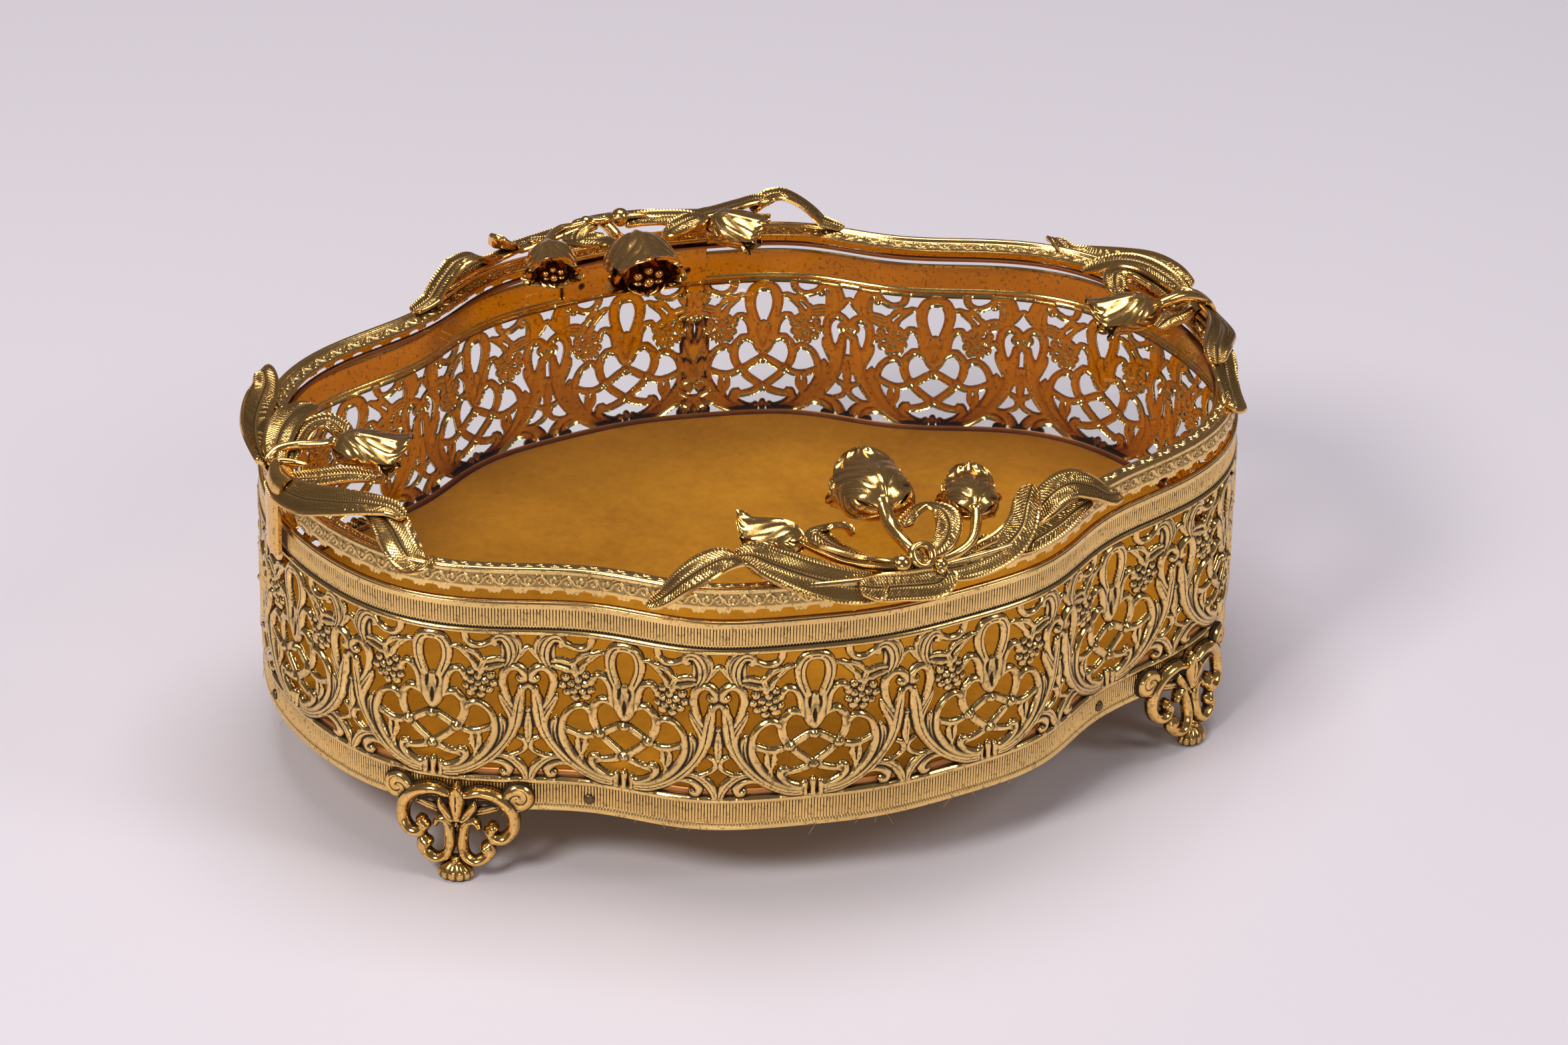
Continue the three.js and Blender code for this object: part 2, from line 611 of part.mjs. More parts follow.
const SHORT_CASTINGS = { left: [ARC_LEFT + SHORT_CASTING_SHIFT, 1], right: [SHORT_CASTING_SHIFT, -1] };
for (const [name, [arc, hand]] of Object.entries(SHORT_CASTINGS)) {
  addPiece(`ribbon_${name}`, shortRibbons(arc, 0), CAST_GILT);
  addPiece(`tulip_${name}`, tulip(arc, 5 * hand, 14, 0.4 * hand, SMALL_TULIP), CAST_GILT);
}

export default object;
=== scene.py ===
"""Looks of the vanity trinket box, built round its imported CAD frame."""
import math

import bpy
import numpy as np
from mathutils import Euler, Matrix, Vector


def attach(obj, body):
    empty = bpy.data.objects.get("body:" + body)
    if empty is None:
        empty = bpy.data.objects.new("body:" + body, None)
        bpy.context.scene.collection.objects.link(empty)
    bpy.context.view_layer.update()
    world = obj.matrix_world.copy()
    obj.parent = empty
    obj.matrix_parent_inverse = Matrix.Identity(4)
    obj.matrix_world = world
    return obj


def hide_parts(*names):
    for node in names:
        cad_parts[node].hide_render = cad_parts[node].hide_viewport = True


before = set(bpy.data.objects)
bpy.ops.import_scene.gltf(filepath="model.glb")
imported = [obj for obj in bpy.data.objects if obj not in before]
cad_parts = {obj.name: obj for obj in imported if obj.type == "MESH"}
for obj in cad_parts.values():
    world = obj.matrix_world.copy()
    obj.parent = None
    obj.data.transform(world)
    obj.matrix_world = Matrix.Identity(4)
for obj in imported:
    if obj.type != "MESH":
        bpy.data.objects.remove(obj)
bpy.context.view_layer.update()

MM = 0.001

# ---------- driving sizes, in millimetres ----------
PLAN_MEAN_RADIUS = 105
PLAN_HARMONICS = {2: 15.9, 4: 5.2, 6: -0.3, 8: -2.0, 10: -0.2, 12: 0.7}
PLAN_STEPS = 7200

OPENWORK_BOTTOM = 26.6
OPENWORK_TOP = 67.8
SHEET = 0.45                    # thickness of the stamped strip
REPEATS = 15                    # stamped repeats round the wall
RIBS_PER_REPEAT = 60
LAP = 9.0                       # how far the strip's end laps over its start
GRID_STEP = 0.27

# ---------- plan outline, measured by arc length ----------
def make_plan():
    """Tables of arc length, position and outward normal round the wall's outer face."""
    angle = np.linspace(0, 2 * np.pi, PLAN_STEPS + 1)
    radius = np.full_like(angle, PLAN_MEAN_RADIUS)
    slope = np.zeros_like(angle)
    for order, amplitude in PLAN_HARMONICS.items():
        radius += amplitude * np.cos(order * angle)
        slope -= amplitude * order * np.sin(order * angle)
    x, y = radius * np.cos(angle), radius * np.sin(angle)
    dx = slope * np.cos(angle) - radius * np.sin(angle)
    dy = slope * np.sin(angle) + radius * np.cos(angle)
    speed = np.hypot(dx, dy)
    arc = np.concatenate([[0], np.cumsum(np.hypot(np.diff(x), np.diff(y)))])
    return {"angle": angle, "arc": arc, "x": x, "y": y, "nx": dy / speed, "ny": -dx / speed}


PLAN = make_plan()
PERIMETER = PLAN["arc"][-1]
PITCH = (PERIMETER + LAP) / REPEATS


def arc_at(degrees):
    return float(np.interp(math.radians(degrees), PLAN["angle"], PLAN["arc"]))


ARC_BACK, ARC_LEFT, ARC_FRONT = arc_at(90), arc_at(180), arc_at(270)
# The strip starts at the back and ends lapped over its own start.
SEAM = ARC_BACK - 3.0
FIRST_LOOP = SEAM + 4.1


def on_wall(arc, out, height):
    """Points in metres, `out` millimetres outside the wall's outer face."""
    arc, out, height = np.broadcast_arrays(np.asarray(arc, float), out, height)
    wrapped = np.mod(arc, PERIMETER)
    x, y, nx, ny = (np.interp(wrapped, PLAN["arc"], PLAN[key]) for key in ("x", "y", "nx", "ny"))
    return np.stack([x + nx * out, y + ny * out, height], -1) * MM


# ---------- meshes ----------
def smoothstep(low, high, value):
    part = np.clip((value - low) / (high - low), 0, 1)
    return part * part * (3 - 2 * part)


def signed_volume(points, faces):
    """Six times the volume that the faces close, negative if they face inwards."""
    middle = points.mean(0)
    total = 0.0
    for k in range(1, faces.shape[1] - 1):
        a, b, c = (points[faces[:, j]] - middle for j in (0, k, k + 1))
        total += np.einsum("ij,ij->", a, np.cross(b, c))
    return total


def new_mesh(name, points, faces, material, relief=0.8, inside=0.0, crease=35):
    """A mesh object from an (n, 3) array in metres and an (m, 4) or (m, 3) array of corners."""
    mesh = bpy.data.meshes.new(name)
    points, faces = np.asarray(points, float), np.asarray(faces, np.int32)
    if signed_volume(points, faces) < 0:
        faces = faces[:, ::-1].copy()
    sides = faces.shape[1]
    mesh.vertices.add(len(points))
    mesh.vertices.foreach_set("co", np.asarray(points, np.float32).ravel())
    mesh.loops.add(faces.size)
    mesh.loops.foreach_set("vertex_index", faces.ravel())
    mesh.polygons.add(len(faces))
    mesh.polygons.foreach_set("loop_start", np.arange(len(faces), dtype=np.int32) * sides)
    mesh.polygons.foreach_set("use_smooth", np.ones(len(faces), bool))
    mesh.update(calc_edges=True)
    mesh.validate()
    for attribute, values in (("relief", relief), ("inside", inside)):
        spread = np.broadcast_to(np.asarray(values, np.float32).ravel(), len(points)).copy()
        layer = mesh.attributes.new(attribute, "FLOAT", "POINT")
        layer.data.foreach_set("value", spread)
    mesh.set_sharp_from_angle(angle=math.radians(crease))
    mesh.materials.append(material)
    piece = bpy.data.objects.new(name, mesh)
    bpy.context.scene.collection.objects.link(piece)
    return piece


def grid_faces(rows, columns, wrap_rows=False, wrap_columns=False):
    """Corner numbers of a rows by columns lattice of points, row by row."""
    row = np.arange(rows if wrap_rows else rows - 1)
    column = np.arange(columns if wrap_columns else columns - 1)
    r, c = np.meshgrid(row, column, indexing="ij")
    r2, c2 = (r + 1) % rows, (c + 1) % columns
    corners = np.stack([r * columns + c, r * columns + c2, r2 * columns + c2, r2 * columns + c], -1)
    return corners.reshape(-1, 4)


def merge(parts):
    """One (points, faces, relief) from several, all with four-cornered faces."""
    points, faces, relief, start = [], [], [], 0
    for part_points, part_faces, part_relief in parts:
        points.append(part_points)
        faces.append(np.asarray(part_faces) + start)
        relief.append(part_relief)
        start += len(part_points)
    return np.concatenate(points), np.concatenate(faces), np.concatenate(relief)


def settle(piece, body, slot, *nodes):
    """Makes a finished piece ride and stand for its CAD nodes; slot is not used."""
    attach(piece, body)
    if nodes:
        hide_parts(*nodes)


def spline(points, samples):
    """Catmull-Rom curve through control points of any dimension, evenly stepped in its parameter."""
    points = np.asarray(points, float)
    if len(points) == 2:
        return points[0] + np.linspace(0, 1, samples)[:, None] * (points[1] - points[0])
    padded = np.concatenate([[2 * points[0] - points[1]], points, [2 * points[-1] - points[-2]]])
    at = np.linspace(0, len(points) - 1, samples)
    index = np.minimum(at.astype(int), len(points) - 2)
    t = (at - index)[:, None]
    a, b, c, d = (padded[index + k] for k in range(4))
    return 0.5 * (2 * b + (c - a) * t + (2 * a - 5 * b + 4 * c - d) * t**2 + (3 * b - a - 3 * c + d) * t**3)


# ---------- materials ----------
def node_material(name):
    material = bpy.data.materials.new(name)
    material.use_nodes = True
    tree = material.node_tree
    return material, tree, tree.nodes["Principled BSDF"]


def add_node(tree, kind, values=None, **settings):
    node = tree.nodes.new(kind)
    for key, value in settings.items():
        setattr(node, key, value)
    for key, value in (values or {}).items():
        node.inputs[key].default_value = value
    return node


def link(tree, source, target):
    tree.links.new(source, target)


def ramp(tree, source, stops):
    """A colour ramp over a value; stops are (place, grey or colour)."""
    node = add_node(tree, "ShaderNodeValToRGB")
    elements = node.color_ramp.elements
    while len(elements) < len(stops):
        elements.new(0.5)
    for element, (place, colour) in zip(elements, stops):
        element.position = place
        element.color = (*colour, 1) if isinstance(colour, tuple) else (colour, colour, colour, 1)
    link(tree, source, node.inputs["Fac"])
    return node.outputs["Color"]


def noise(tree, scale, detail=3, rough=0.6, coordinates=None):
    node = add_node(tree, "ShaderNodeTexNoise", {"Scale": scale, "Detail": detail, "Roughness": rough})
    if coordinates is None:
        coordinates = add_node(tree, "ShaderNodeTexCoord").outputs["Object"]
    link(tree, coordinates, node.inputs["Vector"])
    return node.outputs["Fac"]


def mix_colour(tree, factor, first, second, blend="MIX"):
    node = add_node(tree, "ShaderNodeMix", data_type="RGBA", blend_type=blend)
    for value, socket in ((factor, node.inputs[0]), (first, node.inputs[6]), (second, node.inputs[7])):
        if isinstance(value, bpy.types.NodeSocket):
            link(tree, value, socket)
        else:
            socket.default_value = (*value, 1) if isinstance(value, tuple) else value
    return node.outputs[2]


def math_node(tree, operation, first, second=None):
    node = add_node(tree, "ShaderNodeMath", operation=operation)
    for value, socket in zip((first, second), node.inputs):
        if isinstance(value, bpy.types.NodeSocket):
            link(tree, value, socket)
        elif value is not None:
            socket.default_value = value
    return node.outputs[0]


GOLD = (0.93, 0.61, 0.22)
CAST_GOLD = (0.96, 0.58, 0.18)
AMBER = (0.97, 0.66, 0.2)
PATINA_AND_SHADE = (0.035, 0.018, 0.006)
GILT_ROUGHNESS = 0.14


def gilt_material(name, gold, cavity_reach):
    """Gilt metal: polished high spots, a dark antique patina in the recesses and fine specks, plus the
    painted shade and painted highlights that the relief attribute carries.
    """
    material, tree, shader = node_material(name)
    occlusion = add_node(tree, "ShaderNodeAmbientOcclusion", {"Distance": cavity_reach}, samples=6)
    wear_and_shade = ramp(tree, occlusion.outputs["AO"], [(0.25, 0.0), (0.72, 1.0)])
    # The relief attribute holds patina and also painted shade and painted highlights; low values mix in the
    # dark colour.
    relief = add_node(tree, "ShaderNodeAttribute", attribute_name="relief").outputs["Fac"]
    wear_and_shade = math_node(tree, "MULTIPLY", wear_and_shade, ramp(tree, relief, [(0.24, 0.0), (0.62, 1.0)]))
    specks = ramp(tree, noise(tree, 900, 2, 0.7), [(0.3, 0.0), (0.42, 1.0)])
    wear_and_shade = math_node(tree, "MULTIPLY", wear_and_shade, math_node(tree, "MAXIMUM", specks, 0.55))
    cloud = ramp(tree, noise(tree, 55, 3), [(0.35, 0.86), (0.65, 1.0)])
    inside = add_node(tree, "ShaderNodeAttribute", attribute_name="inside").outputs["Fac"]
    clean = mix_colour(tree, 1.0, mix_colour(tree, inside, gold, AMBER), cloud, "MULTIPLY")
    # The dark colour is patina in the hollows, and painted shade where the relief attribute is low.
    link(tree, mix_colour(tree, wear_and_shade, PATINA_AND_SHADE, clean), shader.inputs["Base Color"])
    link(tree, ramp(tree, wear_and_shade, [(0.0, 0.6), (0.8, GILT_ROUGHNESS)]), shader.inputs["Roughness"])
    link(tree, ramp(tree, wear_and_shade, [(0.0, 0.55), (0.5, 1.0)]), shader.inputs["Metallic"])
    grain = add_node(tree, "ShaderNodeBump", {"Strength": 0.12, "Distance": 0.0002})
    link(tree, noise(tree, 1600, 3), grain.inputs["Height"])
    link(tree, grain.outputs["Normal"], shader.inputs["Normal"])
    return material


STAMPED = gilt_material("stamped_gilt", GOLD, cavity_reach=0.0016)
CAST = gilt_material("cast_gilt", CAST_GOLD, cavity_reach=0.0022)


def satin_metal(name, colour, dark, roughness):
    """Plain sheet metal: brushed, slightly clouded, and darker in its corners with painted shade."""
    material, tree, shader = node_material(name)
    occlusion = add_node(tree, "ShaderNodeAmbientOcclusion", {"Distance": 0.003}, samples=6)
    corners = ramp(tree, occlusion.outputs["AO"], [(0.2, 0.0), (0.7, 1.0)])
    cloud = ramp(tree, noise(tree, 70, 4), [(0.3, 0.7), (0.7, 1.0)])
    clouded = mix_colour(tree, 1.0, colour, cloud, "MULTIPLY")
    # Painted shade: ambient occlusion darkens the corners toward the dark colour.
    link(tree, mix_colour(tree, corners, dark, clouded), shader.inputs["Base Color"])
    shader.inputs["Metallic"].default_value = 1.0
    gloss = ramp(tree, noise(tree, 240, 3), [(0.3, roughness), (0.7, roughness + 0.14)])
    link(tree, gloss, shader.inputs["Roughness"])
    return material


def velvet_material():
    """Mustard velvet: lighter and darker patches where the nap lies differently, and a soft sheen."""
    material, tree, shader = node_material("velvet")
    patches = ramp(tree, noise(tree, 26, 5, 0.62), [(0.32, 0.0), (0.68, 1.0)])
    fine = ramp(tree, noise(tree, 420, 4, 0.7), [(0.3, 0.0), (0.7, 1.0)])
    nap = mix_colour(tree, 0.35, patches, fine)
    link(tree, mix_colour(tree, nap, (0.36, 0.13, 0.004), (0.6, 0.25, 0.012)), shader.inputs["Base Color"])
    shader.inputs["Roughness"].default_value = 0.85
    shader.inputs["Specular IOR Level"].default_value = 0.12
    shader.inputs["Sheen Weight"].default_value = 0.1
    shader.inputs["Sheen Roughness"].default_value = 0.4
    shader.inputs["Sheen Tint"].default_value = (1.0, 0.8, 0.4, 1)
    pile = add_node(tree, "ShaderNodeBump", {"Strength": 0.5, "Distance": 0.0004})
    link(tree, noise(tree, 1500, 3, 0.7), pile.inputs["Height"])
    link(tree, pile.outputs["Normal"], shader.inputs["Normal"])
    return material


def fibre_material(name, light, dark, scale):
    """Matt pressed fibre, such as felt or board."""
    material, tree, shader = node_material(name)
    fleck = ramp(tree, noise(tree, scale, 5, 0.75), [(0.35, 0.0), (0.65, 1.0)])
    link(tree, mix_colour(tree, fleck, dark, light), shader.inputs["Base Color"])
    shader.inputs["Roughness"].default_value = 0.95
    bump = add_node(tree, "ShaderNodeBump", {"Strength": 0.6, "Distance": 0.0003})
    link(tree, noise(tree, scale * 1.4, 4, 0.7), bump.inputs["Height"])
    link(tree, bump.outputs["Normal"], shader.inputs["Normal"])
    return material


def glass_material():
    """Clear glass: what lies behind shows straight through, with a gloss that grows at grazing angles."""
    material = bpy.data.materials.new("lid_glass")
    material.use_nodes = True
    tree = material.node_tree
    tree.nodes.clear()
    clear = add_node(tree, "ShaderNodeBsdfTransparent", {"Color": (0.97, 0.98, 0.97, 1)})
    gloss = add_node(tree, "ShaderNodeBsdfGlossy", {"Color": (1, 1, 1, 1), "Roughness": 0.02})
    facing = add_node(tree, "ShaderNodeLayerWeight", {"Blend": 0.5}).outputs["Facing"]
    grazing = math_node(tree, "POWER", facing, 4.0)
    fresnel = math_node(tree, "ADD", math_node(tree, "MULTIPLY", grazing, 0.3), 0.008)
    mixed = add_node(tree, "ShaderNodeMixShader")
    output = add_node(tree, "ShaderNodeOutputMaterial")
    link(tree, fresnel, mixed.inputs[0])
    link(tree, clear.outputs[0], mixed.inputs[1])
    link(tree, gloss.outputs[0], mixed.inputs[2])
    link(tree, mixed.outputs[0], output.inputs["Surface"])
    return material


# The second colour of each metal is the painted shade in its corners.
COPPER = satin_metal("copper_pan", (0.6, 0.26, 0.09), (0.24, 0.09, 0.03), 0.36)
DARK_BRASS = satin_metal("dark_brass", (0.2, 0.13, 0.06), (0.03, 0.02, 0.01), 0.3)
VELVET = velvet_material()
FELT = fibre_material("felt", (0.62, 0.4, 0.13), (0.36, 0.2, 0.05), 900)
BOARD = fibre_material("board", (0.55, 0.5, 0.42), (0.38, 0.34, 0.28), 500)
GLASS = glass_material()


# ---------- stamped openwork ----------
# One half of a repeat, mirrored about the loop's axis. Each stroke is a run of
# (distance from the loop's axis, height above the standing plane, half width).
HALF_PITCH = 23.1
STRAP, ROUND, LEAF, TWIN = "strap", "round", "leaf", "twin"
STROKES = [
    # drop loop, pendant and its side scrolls
    (TWIN, 1.15, [(-0.8, 65.3, 1.5), (0.8, 65.3, 1.5), (2.6, 64.5, 1.55), (3.6, 62.2, 1.6), (3.6, 59.6, 1.5),
                  (2.9, 57.0, 1.4), (2.0, 54.8, 1.3)]),
    (ROUND, 1.0, [(2.1, 55.4, 1.1), (2.3, 52.5, 1.4), (1.9, 49.6, 1.5), (0.9, 47.2, 1.5), (0, 46.2, 1.5)]),
    (STRAP, 0.75, [(0, 54.4, 0.9), (0, 50.5, 1.5), (0, 46.8, 1.5)]),
    (ROUND, 1.15, [(2.9, 48.6, 0.5), (3.3, 51.4, 1.0), (3.8, 54.3, 1.05), (5.1, 56.3, 1.05), (6.6, 56.8, 1.0),
                   (7.6, 56.0, 0.9)]),
    # interlaced straps
    (STRAP, 0.8, [(0, 44.2, 1.1), (2.2, 42.9, 1.15), (4.2, 41.6, 1.15), (6.1, 40.7, 1.1)]),
    (STRAP, 0.8, [(6.1, 40.7, 1.1), (4.0, 38.5, 1.15), (2.0, 36.8, 1.15), (0, 35.3, 1.15), (-2.2, 34.2, 1.1),
                  (-4.4, 33.5, 1.05), (-6.8, 33.2, 1.0)]),
    (STRAP, 0.8, [(6.1, 40.7, 1.1), (7.4, 43.2, 1.2), (7.9, 45.8, 1.25), (7.4, 48.1, 1.25),
                  (6.4, 49.3, 1.2)]),
    (ROUND, 1.2, [(7.0, 48.6, 1.0), (5.9, 49.9, 1.2), (4.6, 50.2, 1.1), (3.8, 49.5, 0.8)]),
    (STRAP, 0.8, [(6.1, 40.6, 1.0), (8.6, 39.6, 1.05), (11.5, 39.8, 1.0), (14.8, 41.3, 1.0)]),
    # sweeping stems, from the inner scroll to the large acanthus leaf
    (ROUND, 1.15, [(8.7, 46.7, 0.8), (9.6, 47.6, 1.0), (10.9, 47.7, 1.05), (12.7, 46.8, 1.0),
                   (14.2, 44.9, 1.05), (15.1, 42.0, 1.15), (15.0, 39.0, 1.2), (13.8, 36.0, 1.3),
                   (11.9, 33.2, 1.35), (9.4, 30.9, 1.35), (6.4, 29.3, 1.2), (3.0, 28.6, 0.9)]),
    (LEAF, 1.0, [(16.4, 44.3, 0.4), (17.0, 42.6, 1.0), (17.1, 40.2, 1.15), (16.4, 37.2, 1.15),
                 (14.9, 34.6, 1.1), (13.0, 32.4, 1.0), (10.8, 30.6, 0.8)]),
    (LEAF, 1.35, [(21.3, 52.2, 0.9), (21.3, 50.4, 1.3), (20.7, 47.4, 1.85), (20.3, 44.4, 1.9),
                  (19.6, 41.2, 1.75), (18.1, 37.9, 1.5), (15.9, 34.8, 1.4), (13.2, 32.0, 1.35),
                  (10.0, 29.7, 1.3), (6.5, 28.1, 1.1), (3.2, 27.6, 0.9)]),
    (ROUND, 0.9, [(21.6, 51.2, 1.0), (22.4, 52.6, 1.0), (23.1, 53.0, 1.0)]),
    (LEAF, 1.2, [(16.2, 50.6, 0.4), (16.9, 49.0, 1.05), (18.2, 46.8, 1.45), (19.3, 44.5, 1.5),
                 (19.5, 42.0, 1.3)]),
    (ROUND, 1.25, [(19.3, 47.4, 0.6), (18.2, 49.6, 1.0), (17.4, 52.0, 1.2), (17.1, 54.4, 1.3),
                   (17.7, 56.6, 1.35), (19.3, 58.0, 1.3), (21.0, 57.7, 1.25), (22.2, 56.4, 1.25),
                   (22.3, 55.0, 1.2), (21.5, 54.4, 1.1)]),
    # between the mirrored stems at the half pitch
    (LEAF, 1.1, [(23.1, 45.2, 0.4), (23.1, 43.2, 1.0), (23.1, 41.0, 1.3), (23.1, 38.9, 1.0),
                 (23.1, 37.4, 0.4)]),
    (ROUND, 0.7, [(21.4, 45.6, 0.6), (23.1, 46.0, 0.8)]),
    (ROUND, 0.6, [(21.6, 41.6, 0.4), (21.8, 44.4, 0.5)]),
    (ROUND, 0.7, [(20.6, 38.2, 0.5), (23.1, 37.2, 0.7)]),
    (ROUND, 1.0, [(21.0, 38.3, 0.8), (22.1, 37.6, 0.9), (22.6, 36.1, 0.85), (21.9, 34.7, 0.8),
                  (20.4, 33.8, 0.7), (18.8, 33.4, 0.5)]),
    # foot of the repeat: facing scrolls, leaves and clasp
    (ROUND, 1.1, [(11.0, 30.4, 0.8), (13.0, 31.4, 1.0), (15.3, 31.7, 1.15), (17.3, 31.1, 1.25),
                  (18.6, 29.7, 1.25), (18.2, 28.3, 1.1), (17.0, 28.3, 1.0)]),
    (LEAF, 1.1, [(15.4, 33.2, 0.5), (17.4, 33.2, 0.95), (19.4, 32.2, 1.25), (21.0, 30.6, 1.4),
                 (22.1, 28.6, 1.25), (22.5, 27.4, 0.9)]),
    (LEAF, 0.9, [(9.6, 39.2, 0.4), (9.5, 37.5, 0.8), (9.7, 36.0, 0.8), (10.2, 34.4, 0.45)]),
    (LEAF, 0.9, [(11.2, 39.2, 0.4), (11.4, 37.5, 0.8), (11.2, 36.0, 0.8), (10.6, 34.4, 0.45)]),
    (ROUND, 1.1, [(6.6, 34.4, 0.7), (7.8, 34.0, 1.0), (8.0, 32.6, 1.1), (6.9, 31.0, 1.1), (5.0, 29.8, 1.05),
                  (2.8, 29.2, 0.9)]),
    (LEAF, 1.0, [(10.3, 34.8, 0.5), (10.6, 33.2, 0.95), (9.9, 31.8, 1.05), (8.4, 30.5, 1.0)]),
    (LEAF, 0.95, [(12.8, 34.0, 0.5), (12.7, 32.8, 0.9), (11.8, 31.5, 0.95)]),
    (ROUND, 1.2, [(0, 27.2, 0.8), (0, 30.6, 0.95)]),
    (ROUND, 1.05, [(1.95, 27.2, 0.75), (1.95, 30.0, 0.85)]),
    # leaves over the rosette
    (LEAF, 0.95, [(5.0, 63.0, 0.4), (6.6, 62.6, 0.95), (8.2, 61.2, 1.0), (9.5, 59.2, 0.5)]),
    (LEAF, 0.95, [(7.2, 62.6, 0.4), (9.2, 62.2, 0.9), (10.8, 61.2, 0.95), (12.1, 59.4, 0.5)]),
    (LEAF, 0.9, [(12.5, 60.2, 0.4), (12.3, 58.6, 0.95), (11.3, 57.0, 0.6)]),
    (LEAF, 0.9, [(9.2, 60.2, 0.4), (10.1, 58.6, 0.95), (10.8, 57.0, 0.6)]),
    (LEAF, 0.9, [(12.0, 57.2, 0.5), (13.9, 57.5, 0.95), (15.8, 58.1, 0.9), (17.4, 58.7, 0.6)]),
    (LEAF, 0.85, [(12.2, 58.9, 0.4), (13.8, 59.5, 0.85), (15.6, 60.0, 0.85), (17.4, 59.8, 0.6)]),
    # scrolls under the top border
    (ROUND, 1.05, [(8.0, 67.6, 1.1), (8.1, 65.8, 1.1), (8.8, 64.4, 1.0), (10.3, 63.6, 0.95),
                   (12.1, 63.6, 0.95), (13.7, 64.3, 0.95), (15.2, 65.4, 0.95)]),
    (TWIN, 1.25, [(14.9, 64.6, 0.9), (15.4, 66.0, 1.15), (17.2, 66.2, 1.4), (18.7, 64.4, 1.5),
                  (19.2, 61.9, 1.4), (18.8, 59.8, 1.0), (18.0, 58.4, 0.6)]),
    (LEAF, 1.0, [(18.4, 67.2, 0.8), (20.0, 65.9, 0.95), (20.9, 63.8, 1.0), (20.7, 61.6, 0.95),
                 (19.7, 59.6, 0.7)]),
    (ROUND, 0.6, [(16.9, 64.4, 0.5), (17.3, 62.3, 0.7), (17.0, 60.2, 0.6)]),
    (LEAF, 0.95, [(23.1, 63.6, 0.5), (22.1, 62.6, 0.9), (21.2, 61.2, 0.85), (20.2, 59.6, 0.5)]),
]
# Domed beads: (distance from the loop's axis, height, radius, rise).
BEADS = [(0, 43.7, 1.45, 1.7), (6.1, 40.7, 1.45, 1.7), (0, 35.2, 1.25, 1.6), (7.5, 55.8, 1.0, 1.2),
         (15.4, 64.1, 0.95, 1.2), (21.2, 54.9, 1.25, 1.5), (8.8, 46.6, 0.9, 1.2), (17.0, 28.6, 1.05, 1.2),
         (21.0, 38.3, 0.85, 1.1), (23.1, 46.2, 0.75, 1.0)]
ROSETTE = (11.2, 53.3)
ROSETTE_PETALS = 5
OUTER_PETALS = [(8.2, 54.6, 1.3), (8.2, 52.2, 1.1), (9.4, 50.4, 1.35), (11.9, 49.9, 1.25), (13.9, 51.2, 1.15),
                (15.0, 53.2, 1.25), (14.3, 55.4, 1.25), (11.9, 56.4, 1.1), (9.5, 56.3, 1.1)]
# Sunk eyelets in the pendant: (distance from the axis, height, half width, half height).
EYELETS = [(1.35, 52.6, 0.42, 1.3), (0, 49.0, 0.42, 1.7)]
STROKE_STEP = 0.2


def all_beads():
    beads = list(BEADS)
    across, height = ROSETTE
    beads.append((across, height, 0.9, 1.5))
    for k in range(ROSETTE_PETALS):
        turn = math.tau * (k + 0.25) / ROSETTE_PETALS
        beads.append((across + 1.75 * math.cos(turn), height + 1.75 * math.sin(turn), 1.1, 1.2))
    beads.extend((across, height, radius, 0.95) for across, height, radius in OUTER_PETALS)
    return beads


def stroke_profile(kind, rise, inside, radius, aside):
    """Relief height of a stroke, from the depth inside its edge and the distance from its middle line."""
    dome = np.sqrt(np.clip(1 - (1 - np.clip(inside / radius, 0, 1)) ** 2, 0, 1))
    if kind == STRAP:
        return rise * (0.35 + 0.65 * smoothstep(0, 0.3, inside))
    if kind == LEAF:
        return rise * (dome - 0.32 * np.exp(-((aside / 0.2) ** 2)) * smoothstep(0.5, 0.9, radius))
    if kind == TWIN:
        return rise * (dome - 0.42 * np.exp(-((aside / 0.24) ** 2)))
    return rise * dome


def stroke_field(kind, rise, run, across, height, cover, relief):
    """Adds one stroke to the cover (distance inside the metal) and relief fields."""
    run = np.asarray(run, float)
    length = np.hypot(np.diff(run[:, 0]), np.diff(run[:, 1])).sum()
    path = spline(run, max(4, int(length / STROKE_STEP)))
    reach = path[:, 2].max() + 0.6
    near = np.argwhere(
        (across > path[:, 0].min() - reach) & (across < path[:, 0].max() + reach)
        & (height > path[:, 1].min() - reach) & (height < path[:, 1].max() + reach)
    )
    if not len(near):
        return
    rows, columns = near.T
    gap = np.hypot(across[rows, columns][:, None] - path[:, 0], height[rows, columns][:, None] - path[:, 1])
    nearest = np.argmax(path[:, 2] - gap, 1)
    line = np.arange(len(nearest))
    aside, radius = gap[line, nearest], path[nearest, 2]
    inside = radius - aside
    cover[rows, columns] = np.maximum(cover[rows, columns], inside)
    profile = np.where(inside > 0, stroke_profile(kind, rise, inside, radius, aside), 0)
    relief[rows, columns] = np.maximum(relief[rows, columns], profile)


def soften(field, radius):
    """A wrapped box blur along the repeat and a clamped one up it, twice, near enough to a Gaussian."""
    for _ in range(2):
        field = sum(np.roll(field, k, 0) for k in range(-radius, radius + 1)) / (2 * radius + 1)
        padded = np.pad(field, ((0, 0), (radius, radius)), mode="edge")
        field = sum(padded[:, k:k + field.shape[1]] for k in range(2 * radius + 1)) / (2 * radius + 1)
    return field


